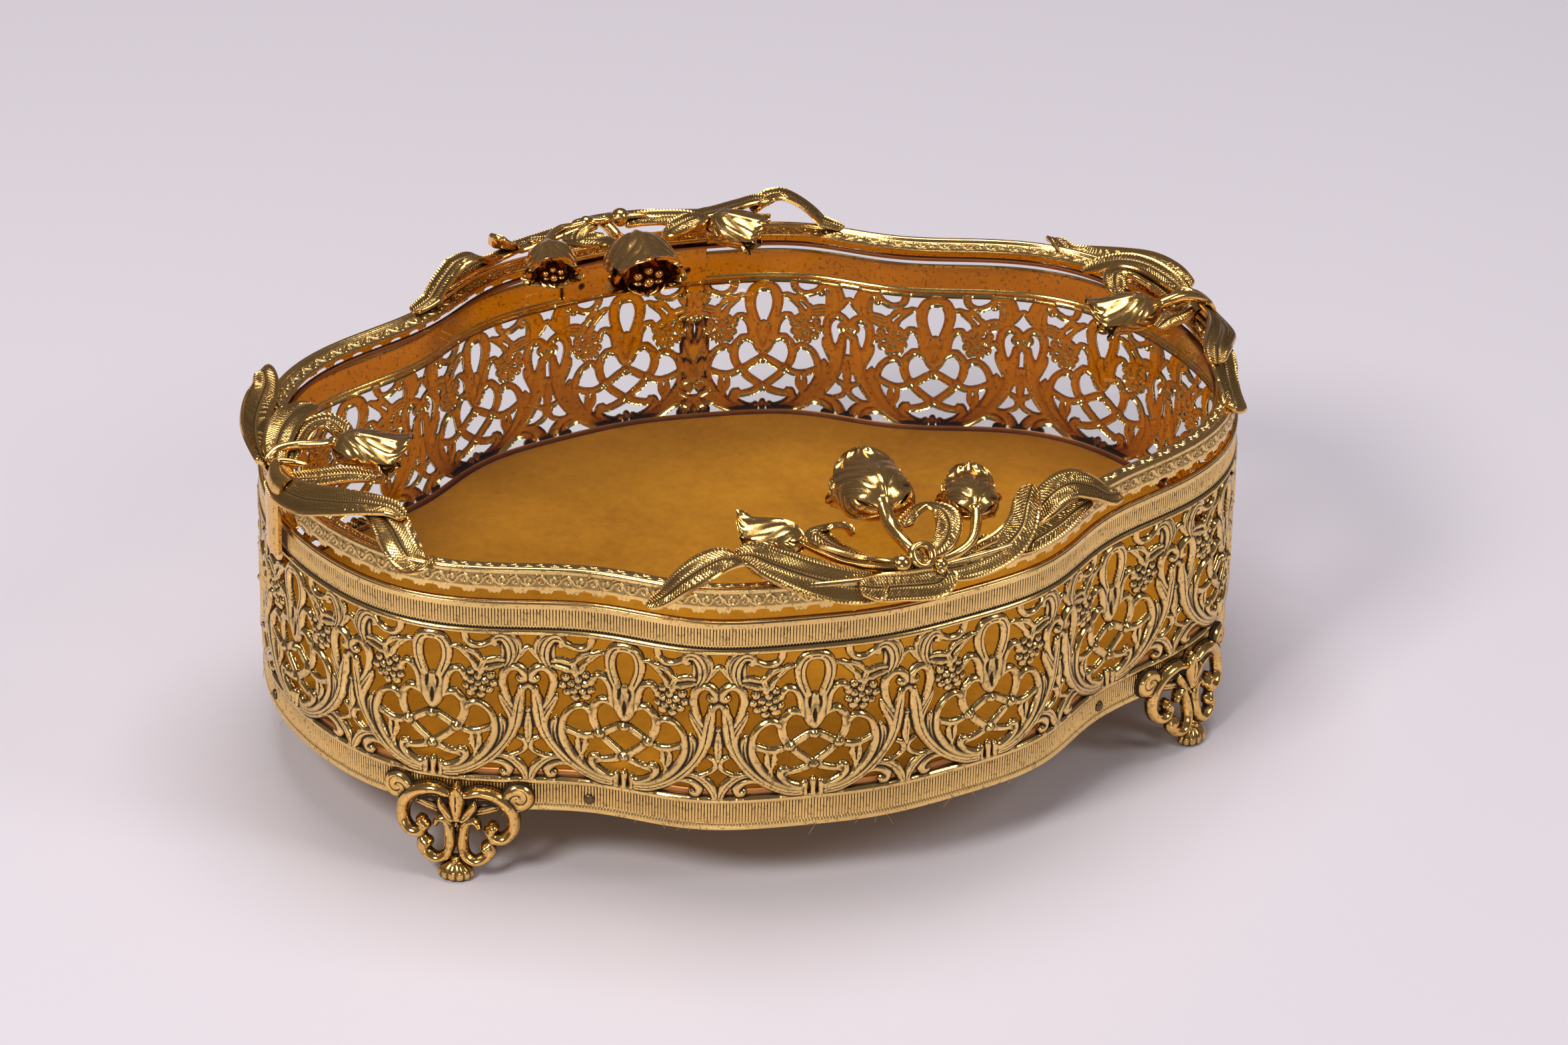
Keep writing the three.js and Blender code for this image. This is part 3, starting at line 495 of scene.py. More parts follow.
def openwork_fields():
    """Cover and relief of one repeat on a grid: rows run along the wall, columns up it."""
    rows = int(round(PITCH / GRID_STEP))
    columns = int(round((OPENWORK_TOP - OPENWORK_BOTTOM) / GRID_STEP)) + 1
    along = (np.arange(rows) / rows - 0.5) * 2 * HALF_PITCH
    up = np.linspace(OPENWORK_BOTTOM, OPENWORK_TOP, columns)
    across, height = np.meshgrid(along, up, indexing="ij")
    cover = np.full(across.shape, -1.0)
    relief = np.zeros(across.shape)
    mirrors = ((1, 0), (-1, 0), (-1, 2 * HALF_PITCH), (1, -2 * HALF_PITCH))
    for sign, shift in mirrors:
        for kind, rise, run in STROKES:
            placed = [(sign * u + shift, v, radius) for u, v, radius in run]
            stroke_field(kind, rise, placed, across, height, cover, relief)
        for u, v, radius, rise in all_beads():
            inside = radius - np.hypot(across - sign * u - shift, height - v)
            cover = np.maximum(cover, inside)
            dome = np.sqrt(np.clip(1 - (1 - np.clip(inside / radius, 0, 1)) ** 2, 0, 1))
            relief = np.maximum(relief, rise * dome)
        for u, v, half_width, half_height in EYELETS:
            near = ((across - sign * u - shift) / half_width) ** 2 + ((height - v) / half_height) ** 2
            relief = relief - 0.5 * np.exp(-near**2)
    border = np.maximum(OPENWORK_BOTTOM + 0.75 - height, height - (OPENWORK_TOP - 0.8))
    cover = np.maximum(cover, border)
    relief = np.maximum(relief, np.where(border > 0, 0.9 * smoothstep(0, 0.4, border), 0))
    return along, up, GRID_STEP, cover, relief


def relief_grid(along, up, step, cover, relief):
    """Lattice of a relief: its edges moved onto the outline, and how bright each point is, with patina and
    painted shade in its hollows.
    """
    middle = cover + np.roll(cover, -1, 0)
    solid = middle[:, :-1] + middle[:, 1:] > 0
    edge_u, edge_v = np.meshgrid(along, up, indexing="ij")
    slope_u = (np.roll(cover, -1, 0) - np.roll(cover, 1, 0)) / (2 * step)
    slope_v = np.gradient(cover, step, axis=1)
    steep = slope_u**2 + slope_v**2 + 1e-3
    touched = np.zeros(cover.shape, int)
    for cells in (solid, np.roll(solid, 1, 0)):
        touched[:, :-1] += cells
        touched[:, 1:] += cells
    rim = (touched > 0) & (touched < 4)
    rim[:, 0] = rim[:, -1] = False
    limit = 0.75 * step
    edge_u = edge_u - np.where(rim, np.clip(cover * slope_u / steep, -limit, limit), 0)
    edge_v = edge_v - np.where(rim, np.clip(cover * slope_v / steep, -limit, limit), 0)
    near, far = (soften(relief, max(1, int(reach / step))) for reach in (0.35, 1.0))
    # Patina and painted shade: darker in the hollows between strokes, lighter on the raised parts.
    patina_and_shade = np.clip(0.4 + 1.5 * (relief - far) + 1.2 * (relief - near) + 0.14 * (relief - 0.7), 0, 1)
    return edge_u, edge_v, soften(relief, 1), patina_and_shade, solid


def relief_faces(solid, count, wraps=True):
    """Faces of front, back and edge walls for the solid cells of a relief."""
    columns = solid.shape[1] + 1
    r, c = np.nonzero(solid)
    near, far = r * columns + c, (r + 1) * columns + c
    corners = np.stack([near, far, far + 1, near + 1], -1)
    faces = [corners, corners[:, ::-1] + count]
    padded = np.zeros((solid.shape[0] + 2, solid.shape[1] + 2), bool)
    padded[1:-1, 1:-1] = solid
    if wraps:
        padded[0, 1:-1] = solid[-1]
        padded[-1, 1:-1] = solid[0]
    sides = (((-1, 0), (0, 3)), ((1, 0), (2, 1)), ((0, -1), (1, 0)), ((0, 1), (3, 2)))
    for (dr, dc), (first, second) in sides:
        bare = ~padded[r + 1 + dr, c + 1 + dc]
        a, b = corners[bare][:, first], corners[bare][:, second]
        faces.append(np.stack([a, b, b + count, a + count], -1))
    return np.concatenate(faces)


def compact(faces, count):
    """The point numbers that the faces use out of `count`, and the faces renumbered to them."""
    used = np.unique(faces)
    renumber = np.zeros(count, int)
    renumber[used] = np.arange(len(used))
    return used, renumber[faces]


SHEET_BACK = -0.9
RELIEF_GAIN = 1.25              # stamped height of the outer side over the drawn relief
HOLLOW_GAIN = 1.05              # the same for the hollow inner side
BACK_RELIEF = 0.75              # `relief` value of plain inner faces


def lap_lift(arc):
    """Outward step of the strip's end, where it laps over its own start at the back."""
    past = np.asarray(arc) - (SEAM + PERIMETER)
    return (SHEET + 0.15) * smoothstep(-5, -1, past)


def gallery_repeats():
    """The openwork strip, one piece for each stamped repeat."""
    u, v, relief, patina_and_shade, solid = relief_grid(*openwork_fields())
    u = np.concatenate([u, u[:1] + 2 * HALF_PITCH])
    v, relief, patina_and_shade = (np.concatenate([part, part[:1]]) for part in (v, relief, patina_and_shade))
    count = u.size
    used, faces = compact(relief_faces(solid, count), 2 * count)
    for repeat in range(REPEATS):
        middle = FIRST_LOOP + repeat * PITCH
        arc = middle + u * (PITCH / (2 * HALF_PITCH))
        out = SHEET_BACK + lap_lift(arc)
        front = on_wall(arc, out + RELIEF_GAIN * relief, v).reshape(-1, 3)
        back = on_wall(arc, out + HOLLOW_GAIN * relief - SHEET, v).reshape(-1, 3)
        points = np.concatenate([front, back])[used]
        wear_and_shade = np.concatenate([patina_and_shade.ravel(), np.full(count, BACK_RELIEF)])[used]
        inside = np.repeat([0.0, 1.0], count)[used]
        name = f"gallery_openwork_{repeat + 1:02d}"
        piece = new_mesh(name, points, faces, STAMPED, wear_and_shade, inside, crease=50)
        settle(piece, "case", "stamped_gilt", "gallery_wall")


# ---------- fluted bands ----------
RIB_ROWS = 4
SAMPLES_PER_RIB = 4
BAND_PIECES = 3
RIB_DEPTH = 0.26
BEAD_RISE = 0.3


def band(name, profile, rib_low, rib_high, beads):
    """A fluted band, ribbed between two heights: profile is (height, out, patina and painted shade) from the
    bottom up.
    """
    profile = np.asarray(profile, float)
    heights = np.unique(np.concatenate([
        profile[:, 0], np.linspace(rib_low, rib_high, RIB_ROWS + 2),
        [rib_low - 0.15, rib_low + 0.12, rib_high - 0.12, rib_high + 0.15],
        *(np.linspace(low - 0.32, low + 0.32, 5) for low in beads),
    ]))
    step = PERIMETER / (REPEATS * RIBS_PER_REPEAT * SAMPLES_PER_RIB)
    arc = SEAM + np.arange(int((PERIMETER + LAP) / step) + 1) * step
    ends = np.linspace(0, len(arc) - 1, BAND_PIECES + 1).astype(int)
    for number, (first, last) in enumerate(zip(ends[:-1], ends[1:])):
        band_piece(f"{name}_{number + 1}", arc[first:last + 1], heights, profile, rib_low, rib_high, beads)


def band_piece(name, arc, heights, profile, rib_low, rib_high, beads):
    """One closed length of a band, with its back hidden behind the openwork strip."""
    a, h = np.meshgrid(arc, heights, indexing="ij")
    phase = (a - SEAM) / PERIMETER * REPEATS * RIBS_PER_REPEAT * math.tau
    ribbed = smoothstep(rib_low - 0.1, rib_low + 0.1, h) * (1 - smoothstep(rib_high - 0.1, rib_high + 0.1, h))
    groove = np.clip(0.5 - 0.5 * np.cos(phase), 0, 1) ** 3
    out = np.interp(h, profile[:, 0], profile[:, 1]) - RIB_DEPTH * ribbed * groove
    # The flutes' grooves are painted darker, most toward their tops.
    dark_top = 0.4 + 0.6 * smoothstep(rib_low, rib_high, h)
    patina_and_shade = np.interp(h, profile[:, 0], profile[:, 2]) - ribbed * groove * dark_top
    for centre in beads:
        near = np.clip(1 - ((h - centre) / 0.36) ** 2, 0, 1)
        bead = near * (0.5 - 0.5 * np.cos(phase))
        out = out + BEAD_RISE * bead
        # Painted highlight on each bead's crown and painted shade between the beads.
        patina_and_shade = patina_and_shade + 0.3 * bead - 0.35 * near * (1 - bead)
    out = out + lap_lift(a)
    front = on_wall(a, out, h).reshape(-1, 3)
    plain = np.interp(h, profile[:, 0], profile[:, 1]) + lap_lift(a) - SHEET - 0.25
    back = on_wall(a, plain, h).reshape(-1, 3)
    faces = grid_faces(*a.shape)
    count = a.size
    rows, columns = a.shape
    rim = np.concatenate([
        np.arange(columns), np.arange(1, rows) * columns + columns - 1,
        (rows - 1) * columns + np.arange(columns - 2, -1, -1), np.arange(rows - 2, 0, -1) * columns,
    ])
    after = np.roll(rim, -1)
    walls = np.stack([rim, rim + count, after + count, after], -1)
    faces = np.concatenate([faces[:, ::-1], faces + count, walls[:, ::-1]])
    wear_and_shade = np.concatenate([np.clip(patina_and_shade, 0, 1).ravel(), np.full(count, BACK_RELIEF)])
    inside = np.repeat([0.0, 1.0], count)
    piece = new_mesh(name, np.concatenate([front, back]), faces, STAMPED, wear_and_shade, inside, crease=60)
    settle(piece, "case", "stamped_gilt", "gallery_wall")


def bands():
    # Third column: painted shade, darkest in the undercut step below the ribs (68.1 to 69.1) and in the
    # groove under the top roll.
    band("upper_band", [
        (66.7, -0.6, 0.3), (66.95, 0.05, 0.8), (67.3, 0.25, 0.95), (67.75, 0.2, 0.95), (68.1, -0.1, 0.5),
        (68.35, -0.45, 0.12), (68.8, -0.45, 0.2), (69.1, -0.25, 0.5), (69.4, -0.12, 0.8), (74.1, -0.12, 0.8),
        (75.3, -0.05, 0.85), (75.45, -0.3, 0.3), (75.7, -0.3, 0.3), (75.85, 0.0, 0.9), (76.1, 0.0, 1.0),
        (76.3, -0.25, 1.0),
    ], 69.45, 74.0, [68.85])
    # Third column: painted shade in the groove from 19.3 to 19.85 and where the band turns in at its top.
    band("lower_band", [
        (18.0, -0.3, 1.0), (18.12, -0.02, 1.0), (19.1, 0.0, 0.9), (19.3, -0.15, 0.6), (19.85, -0.15, 0.6),
        (20.0, -0.1, 0.85), (25.5, -0.1, 0.85), (25.7, 0.02, 0.9), (26.6, 0.0, 0.9), (26.85, -0.25, 0.4),
        (27.2, -0.5, 0.3),
    ], 20.05, 25.4, [19.55])


# ---------- swept and turned shapes, in millimetres ----------
def unit(vectors):
    vectors = np.asarray(vectors, float)
    return vectors / np.maximum(np.linalg.norm(vectors, axis=-1, keepdims=True), 1e-9)


def tube(path, radii, sides=14, relief=0.8, closed=False):
    """A round bar along a path, with a radius at each point."""
    path = np.asarray(path, float)
    if closed:
        along = np.roll(path, -1, 0) - np.roll(path, 1, 0)
    else:
        along = np.gradient(path, axis=0)
    along = unit(along)
    side = np.cross(along, (0, 0, 1.0))
    side = np.where(np.linalg.norm(side, axis=1, keepdims=True) < 0.2, np.cross(along, (1.0, 0, 0)), side)
    side = unit(side)
    other = np.cross(side, along)
    turn = np.arange(sides) / sides * math.tau
    ring = np.cos(turn)[None, :, None] * side[:, None] + np.sin(turn)[None, :, None] * other[:, None]
    points = path[:, None] + ring * np.asarray(radii, float)[:, None, None]
    faces = grid_faces(len(path), sides, wrap_rows=closed, wrap_columns=True)
    return points.reshape(-1, 3), faces, np.full(len(path) * sides, relief)


def turned(origin, axis, profile, sides=28, relief=0.8):
    """A lathe-turned solid from (distance along the axis, radius) pairs."""
    profile = np.asarray(profile, float)
    axis = unit(axis)
    side = unit(np.cross(axis, (0.31, 0.17, 0.93)))
    other = np.cross(axis, side)
    turn = np.arange(sides) / sides * math.tau
    ring = np.cos(turn)[:, None] * side + np.sin(turn)[:, None] * other
    points = np.asarray(origin) + profile[:, :1, None] * axis + profile[:, 1:, None] * ring[None]
    faces = grid_faces(len(profile), sides, wrap_columns=True)
    return points.reshape(-1, 3), faces, np.full(len(profile) * sides, relief)


def sphere_profile(radius):
    turn = np.linspace(0, math.pi, 12)
    return [(-radius * math.cos(t), max(radius * math.sin(t), 0.01)) for t in turn]


# ---------- pan, pad and felt ----------
def inset_rings(insets, heights, steps):
    """Rings parallel to the wall, one for each inset and height."""
    arc = np.arange(steps) / steps * PERIMETER
    rings = [on_wall(arc, -inset, height) for inset, height in zip(insets, heights)]
    return np.stack(rings)


def shrink_rings(inset, height_at, count, steps):
    """Rings from the given inset shrinking onto the middle line of the box."""
    arc = np.arange(steps) / steps * PERIMETER
    edge = on_wall(arc, -inset, 0.0)
    spine = edge.copy()
    spine[:, 0] = np.clip(edge[:, 0], -0.045, 0.045)
    spine[:, 1] = 0
    rings = []
    for k in range(count + 1):
        share = k / count
        ring = edge + (spine - edge) * share
        ring[:, 2] = height_at(share, ring) * MM
        rings.append(ring)
    return rings


def flat_rings(inset, height, count, steps):
    return shrink_rings(inset, lambda share, ring: np.full(len(ring), height), count, steps)


def loft(rings):
    """Points and faces of the surface through a stack of rings."""
    return np.concatenate(rings), grid_faces(len(rings), len(rings[0]), wrap_columns=True)


PAD_STEPS = 360
PAD_INSET = 2.3
PAD_EDGE_TOP = 28.4
PAD_CROWN = 1.6
PAD_BOTTOM = 23.3
PAD_EDGE = [(3.4, 23.3), (2.9, 23.4), (2.45, 24.2), (PAD_INSET, 26.0), (2.5, 27.6), (3.2, 28.2)]


def velvet_pad():
    """The crowned velvet cushion, rolled under at its edge."""
    nap = np.random.default_rng(4)
    waves = nap.uniform(-1, 1, (14, 4))

    def top(share, ring):
        swell = PAD_EDGE_TOP + PAD_CROWN * smoothstep(0, 0.35, share)
        for kx, ky, phase, size in waves:
            swell = swell + 0.07 * size * np.sin(60 * kx * ring[:, 0] + 60 * ky * ring[:, 1] + 6 * phase)
        return swell

    rings = list(inset_rings(*zip(*PAD_EDGE), PAD_STEPS))
    rings += shrink_rings(4.2, top, 44, PAD_STEPS)
    points, faces = loft(rings)
    under, under_faces = loft(flat_rings(3.4, PAD_BOTTOM, 3, PAD_STEPS))
    points = np.concatenate([points, under])
    faces = np.concatenate([faces, under_faces[:, ::-1] + len(points) - len(under)])
    piece = new_mesh("velvet_cushion", points, faces, VELVET, crease=80)
    settle(piece, "case", "velvet", "velvet_pad")


SHELL_STEPS = 480
PAN_OUTER = [(1.15, 28.6), (1.1, 28.2), (1.1, 22.5), (1.3, 21.2), (2.0, 20.3), (3.2, 20.02)]
PAN_INNER = [(3.2, 20.6), (2.3, 20.85), (1.85, 21.6), (1.7, 22.6), (1.7, 28.4), (1.5, 28.75)]
PAN_UNDERSIDE = 20.0
PAN_FLOOR = 20.6


def base_pan():
    """The drawn copper pan: floor, rounded corner and upright rim."""
    low = list(inset_rings(*zip(*PAN_OUTER), SHELL_STEPS)) + flat_rings(4.0, PAN_UNDERSIDE, 3, SHELL_STEPS)
    high = list(inset_rings(*zip(*PAN_INNER[::-1]), SHELL_STEPS)) + flat_rings(4.0, PAN_FLOOR, 3, SHELL_STEPS)
    points, faces = loft(high[::-1] + low)
    piece = new_mesh("copper_pan_shell", points, faces, COPPER, crease=50)
    settle(piece, "case", "copper_pan", "base_pan")


FELT_EDGE = [(1.3, 19.7), (1.2, 19.4), (1.35, 19.05), (1.9, 18.9)]
FELT_TOP = 19.7
FELT_UNDERSIDE = 18.85
FIBRES = 110
FIBRE_POINTS = 7
FIBRE_RADIUS = 0.05


def base_felt():
    """The felt under the pan, a little uneven."""
    def low(share, ring):
        return FELT_UNDERSIDE + 0.1 * np.sin(310 * ring[:, 0] + 3) * np.sin(270 * ring[:, 1])

    bottom = list(inset_rings(*zip(*FELT_EDGE), SHELL_STEPS)) + shrink_rings(2.6, low, 24, SHELL_STEPS)
    points, faces = loft(flat_rings(1.3, FELT_TOP, 3, SHELL_STEPS)[::-1] + bottom)
    settle(new_mesh("felt_underlay", points, faces, FELT, crease=80), "case", "felt", "base_felt")


def felt_fibres():
    """Loose fibres along the felt's edge."""
    nap = np.random.default_rng(11)
    t = np.linspace(0, 1, FIBRE_POINTS)
    parts = []
    for _ in range(FIBRES):
        arc, length = nap.uniform(0, PERIMETER), nap.uniform(1.5, 4.5)
        drift, hang, bend = nap.uniform(-1, 1), nap.uniform(0.1, 0.9), nap.uniform(-1.5, 1.5)
        out = -1.2 + nap.uniform(0, 1.0) + 0.6 * t
        path = on_wall(arc + drift * length * t + bend * t * t, out, 18.9 - hang * length * t * t) / MM
        parts.append(tube(path, np.full(FIBRE_POINTS, FIBRE_RADIUS), sides=5))
    points, faces, relief = merge(parts)
    settle(new_mesh("felt_fibres", points * MM, faces, FELT, relief), "case", "felt")


# ---------- lid bezel, glass and retaining ring ----------
FRIEZE_REPEATS = 112
BEZEL_PIECES = 4
FRIEZE_PERIOD = PERIMETER / FRIEZE_REPEATS
FRIEZE_STEP = 0.21
# Strokes of one frieze period, (along, up, half width): an S-scroll with a curled bud in each bay.
FRIEZE_STROKES = [
    [(0.0, 1.2, 0.24), (0.7, 2.1, 0.26), (1.7, 2.6, 0.28), (2.6, 2.0, 0.28), (3.2, 1.1, 0.28),
     (4.2, 0.6, 0.28), (5.1, 0.8, 0.26), (5.5, 1.2, 0.24)],
    [(1.7, 2.6, 0.2), (2.4, 1.5, 0.24), (1.9, 0.9, 0.24), (1.2, 1.2, 0.24), (1.5, 1.7, 0.22)],
    [(4.2, 0.6, 0.2), (3.7, 1.7, 0.24), (4.2, 2.3, 0.24), (4.9, 2.0, 0.24), (4.6, 1.5, 0.22)],
    [(0.2, 2.5, 0.2), (0.6, 2.9, 0.22)],
    [(2.9, 0.5, 0.2), (3.1, 0.2, 0.22)],
]
DRAWN_PERIOD = 5.5
FRIEZE_TALL = 3.2
FRIEZE_RISE = 0.24
# The bezel's section from its lower edge, over the ridge, to its inner lip: (inset, height).
BEZEL_FACE = [(0.75, 79.2), (0.7, 79.6), (0.8, 83.4), (0.72, 83.6), (0.7, 83.95), (0.85, 84.3),
              (1.2, 84.55), (1.6, 84.6), (2.0, 84.5), (2.3, 84.25), (2.4, 83.95), (2.5, 83.8), (2.7, 83.7),
              (5.3, 83.3), (5.6, 83.3), (5.9, 83.2), (6.0, 82.9), (5.9, 82.6)]
OUTER_FRIEZE = (1, 2)
INNER_FRIEZE = (12, 13)
BEZEL_SHEET = 0.75
# The bezel is drawn in beside the hinge, so that it clears the wall as the lid opens.
HINGE_ROOM = 1.3
HINGE_ROOM_REACH = 26


def frieze_field(columns, rows):
    """Relief of one frieze period: rows run along the wall, columns up the face."""
    along = np.arange(columns) / columns * FRIEZE_PERIOD
    up = np.linspace(0, FRIEZE_TALL, rows)
    across, height = np.meshgrid(along, up, indexing="ij")
    cover, relief = np.full(across.shape, -1.0), np.zeros(across.shape)
    for shift in (-FRIEZE_PERIOD, 0, FRIEZE_PERIOD):
        for run in FRIEZE_STROKES:
            placed = [(u / DRAWN_PERIOD * FRIEZE_PERIOD + shift, v, radius) for u, v, radius in run]
            stroke_field(ROUND, FRIEZE_RISE, placed, across, height, cover, relief)
    return relief


def bezel_section(frieze_rows):
    """Points of the section with the friezes' rows added, and which points are on a frieze."""
    face, on_frieze = [], []
    for k, point in enumerate(BEZEL_FACE):
        face.append(point)
        on_frieze.append(False)
        if k in (OUTER_FRIEZE[0], INNER_FRIEZE[0]):
            after = BEZEL_FACE[k + 1]
            for share in np.linspace(0, 1, frieze_rows)[1:-1]:
                face.append(tuple(np.array(point) * (1 - share) + np.array(after) * share))
                on_frieze.append(True)
    return np.array(face), np.array(on_frieze)


def hang_pendants(arc, height):
    """Cuts the lower edge into three-lobed pendants with small teeth between."""
    bay = (arc / FRIEZE_PERIOD) % 1
    drop = np.exp(-(((bay - 0.5) / 0.27) ** 8))
    lobes = np.abs(np.cos(math.tau * (bay - 0.5) * 2.8))
    height[:, 0] -= 0.15 + drop * (0.75 + 0.4 * lobes) + 0.2 * lobes * (1 - drop)
    height[:, 1] -= 0.5 * drop


def bezel():
    """Bezel with a drop-edged frieze outside, a polished ridge and a second frieze inside."""
    columns = int(round(FRIEZE_PERIOD / FRIEZE_STEP))
    frieze_rows = 17
    face, on_frieze = bezel_section(frieze_rows)
    relief = np.tile(frieze_field(columns, frieze_rows), (FRIEZE_REPEATS, 1))[:, 1:-1]
    steps = columns * FRIEZE_REPEATS
    arc = np.arange(steps) / steps * PERIMETER
    lift = np.zeros((steps, len(face)))
    lift[:, on_frieze] = np.concatenate([relief, relief], 1)
    slope = np.gradient(face, axis=0)
    normal = np.stack([-slope[:, 1], slope[:, 0]], -1)
    normal /= np.linalg.norm(normal, axis=1, keepdims=True)
    room = HINGE_ROOM * np.exp(-(((arc - ARC_BACK) / HINGE_ROOM_REACH) ** 4))[:, None]
    inset = face[:, 0] + lift * normal[:, 0] + room
    height = face[:, 1] + lift * normal[:, 1]
    hang_pendants(arc, height)
    # Painted shade on the friezes' ground and painted highlight on their raised strokes; the ridge stays
    # light.
    shade = np.where(on_frieze, 0.4, 0.95) + np.where(on_frieze, 1.8, 0.0) * lift
    back_inset, back_height = (face - BEZEL_SHEET * normal).T
    back_inset[0], back_inset[-1] = face[0, 0] + 0.5, face[-1, 0] - 0.3
    back_height = np.broadcast_to(back_height, height.shape).copy()
    back_height[:, 0] = height[:, 0] + 0.1
    front = on_wall(arc[:, None], -inset, height)
    back = on_wall(arc[:, None], -(back_inset + room)[:, ::-1], back_height[:, ::-1])
    ring = np.concatenate([front, back], 1)
    wear_and_shade = np.concatenate([shade, np.full(height.shape, 0.6)], 1)
    quarter = steps // BEZEL_PIECES
    for number in range(BEZEL_PIECES):
        rows = np.arange(number * quarter, (number + 1) * quarter + 1) % steps
        faces = grid_faces(len(rows), ring.shape[1], wrap_columns=True)
        points, relief = ring[rows].reshape(-1, 3), wear_and_shade[rows].ravel()
        piece = new_mesh(f"bezel_quarter_{number + 1}", points, faces, STAMPED, relief, crease=40)
        settle(piece, "lid", "stamped_gilt", "bezel")


GLASS_STEPS = 360
GLASS_UNDERSIDE = 81.1
# The glass from its edge up the bevel: (inset, height).
GLASS_BEVEL = [(5.2, 81.2), (5.2, 82.2), (7.0, 82.25), (9.0, 82.32), (11.0, 82.4), (13.0, 82.47),
               (15.0, 82.54), (17.4, 82.6), (18.2, 82.6)]


def lid_glass():
    """The clear panel, its top ground down to a wide bevel at the edge."""
    edge, top = GLASS_BEVEL[0][0], GLASS_BEVEL[-1]
    low = flat_rings(edge, GLASS_UNDERSIDE, 5, GLASS_STEPS)[::-1]
    high = list(inset_rings(*zip(*GLASS_BEVEL), GLASS_STEPS)) + flat_rings(*top, 5, GLASS_STEPS)[1:]
    points, faces = loft(low + high)
    piece = new_mesh("bevelled_glass", points, faces, GLASS, crease=12)
    settle(piece, "lid", "lid_glass", "glass_panel")


RING_SECTION = [(5.0, 80.9), (5.0, 80.3), (5.15, 80.1), (6.1, 80.1), (6.35, 80.25), (6.45, 80.6),
                (6.35, 80.95), (6.1, 81.1), (5.15, 81.1)]
RING_STEPS = 720


def retaining_ring():
    """The folded copper ring under the glass."""
    points = inset_rings(*zip(*RING_SECTION), RING_STEPS).reshape(-1, 3)
    faces = grid_faces(len(RING_SECTION), RING_STEPS, wrap_rows=True, wrap_columns=True)
    piece = new_mesh("copper_ring", points, faces, COPPER, crease=40)
    settle(piece, "lid", "copper_pan", "glass_retaining_ring")


# ---------- feet ----------
FOOT_ANGLES = {"back_right": 31, "back_left": 149, "front_left": 211, "front_right": 329}
FOOT_STEP = 0.24
# The riveted disc at each side of a foot: (distance from its middle, height, radius).
FOOT_DISC = (14.6, 21.8, 4.1)
FOOT_SPAN = 20.5
FOOT_LOW, FOOT_HIGH = 2.6, 26.6
FOOT_PLATE = 0.35               # least thickness of the casting
COMB_PITCH = 0.62
# One half of a foot: (distance from its middle, height, half width).
FOOT_STROKES = [
    (ROUND, 2.3, [(2.4, 22.4, 1.1), (5.4, 23.2, 1.5), (9.3, 22.1, 1.65), (12.2, 19.4, 1.75),
                  (13.5, 16.1, 1.7), (13.2, 13.0, 1.6), (11.3, 10.9, 1.5), (9.0, 10.9, 1.5),
                  (7.6, 12.6, 1.3)]),
    (ROUND, 2.2, [(5.2, 13.4, 0.7), (4.4, 15.0, 0.95), (2.9, 15.1, 1.2), (1.8, 13.2, 1.35),
                  (1.45, 10.6, 1.4), (1.6, 8.0, 1.4), (2.5, 5.9, 1.4), (4.4, 4.9, 1.3), (6.5, 5.7, 1.4),
                  (8.0, 7.6, 1.4), (7.8, 9.3, 1.2)]),
    (LEAF, 2.2, [(4.2, 20.2, 0.5), (3.6, 18.6, 1.2), (2.3, 16.6, 1.1), (1.0, 15.0, 0.5)]),
    (TWIN, 0.9, [(9.6, 18.8, 1.0), (6.5, 17.8, 1.1), (3.2, 16.9, 1.0)]),
    (STRAP, 0.5, [(10.6, 20.4, 1.2), (7.4, 20.8, 1.6), (3.4, 20.6, 1.8)]),
    (STRAP, 0.7, [(11.6, 20.8, 1.6), (14.6, 21.8, 2.0)]),
]
FOOT_PETAL = [(0, 25.0, 0.5), (0, 23.2, 1.5), (0, 20.9, 2.2), (0, 18.6, 1.8), (0, 16.4, 1.0)]
FOOT_BEADS = [(8.6, 13.6, 1.5, 2.6), (6.9, 8.5, 1.45, 2.6), (0, 15.6, 1.0, 2.6), (0, 13.9, 0.65, 2.4),
              (0, 5.0, 1.1, 2.6)]
COMB = [(4.4, 21.2), (7.4, 20.9), (10.2, 19.0), (11.5, 16.2), (11.3, 13.8)]
LOWER_COMB = [(3.2, 11.9), (3.1, 9.6), (3.9, 7.6), (5.6, 7.2)]


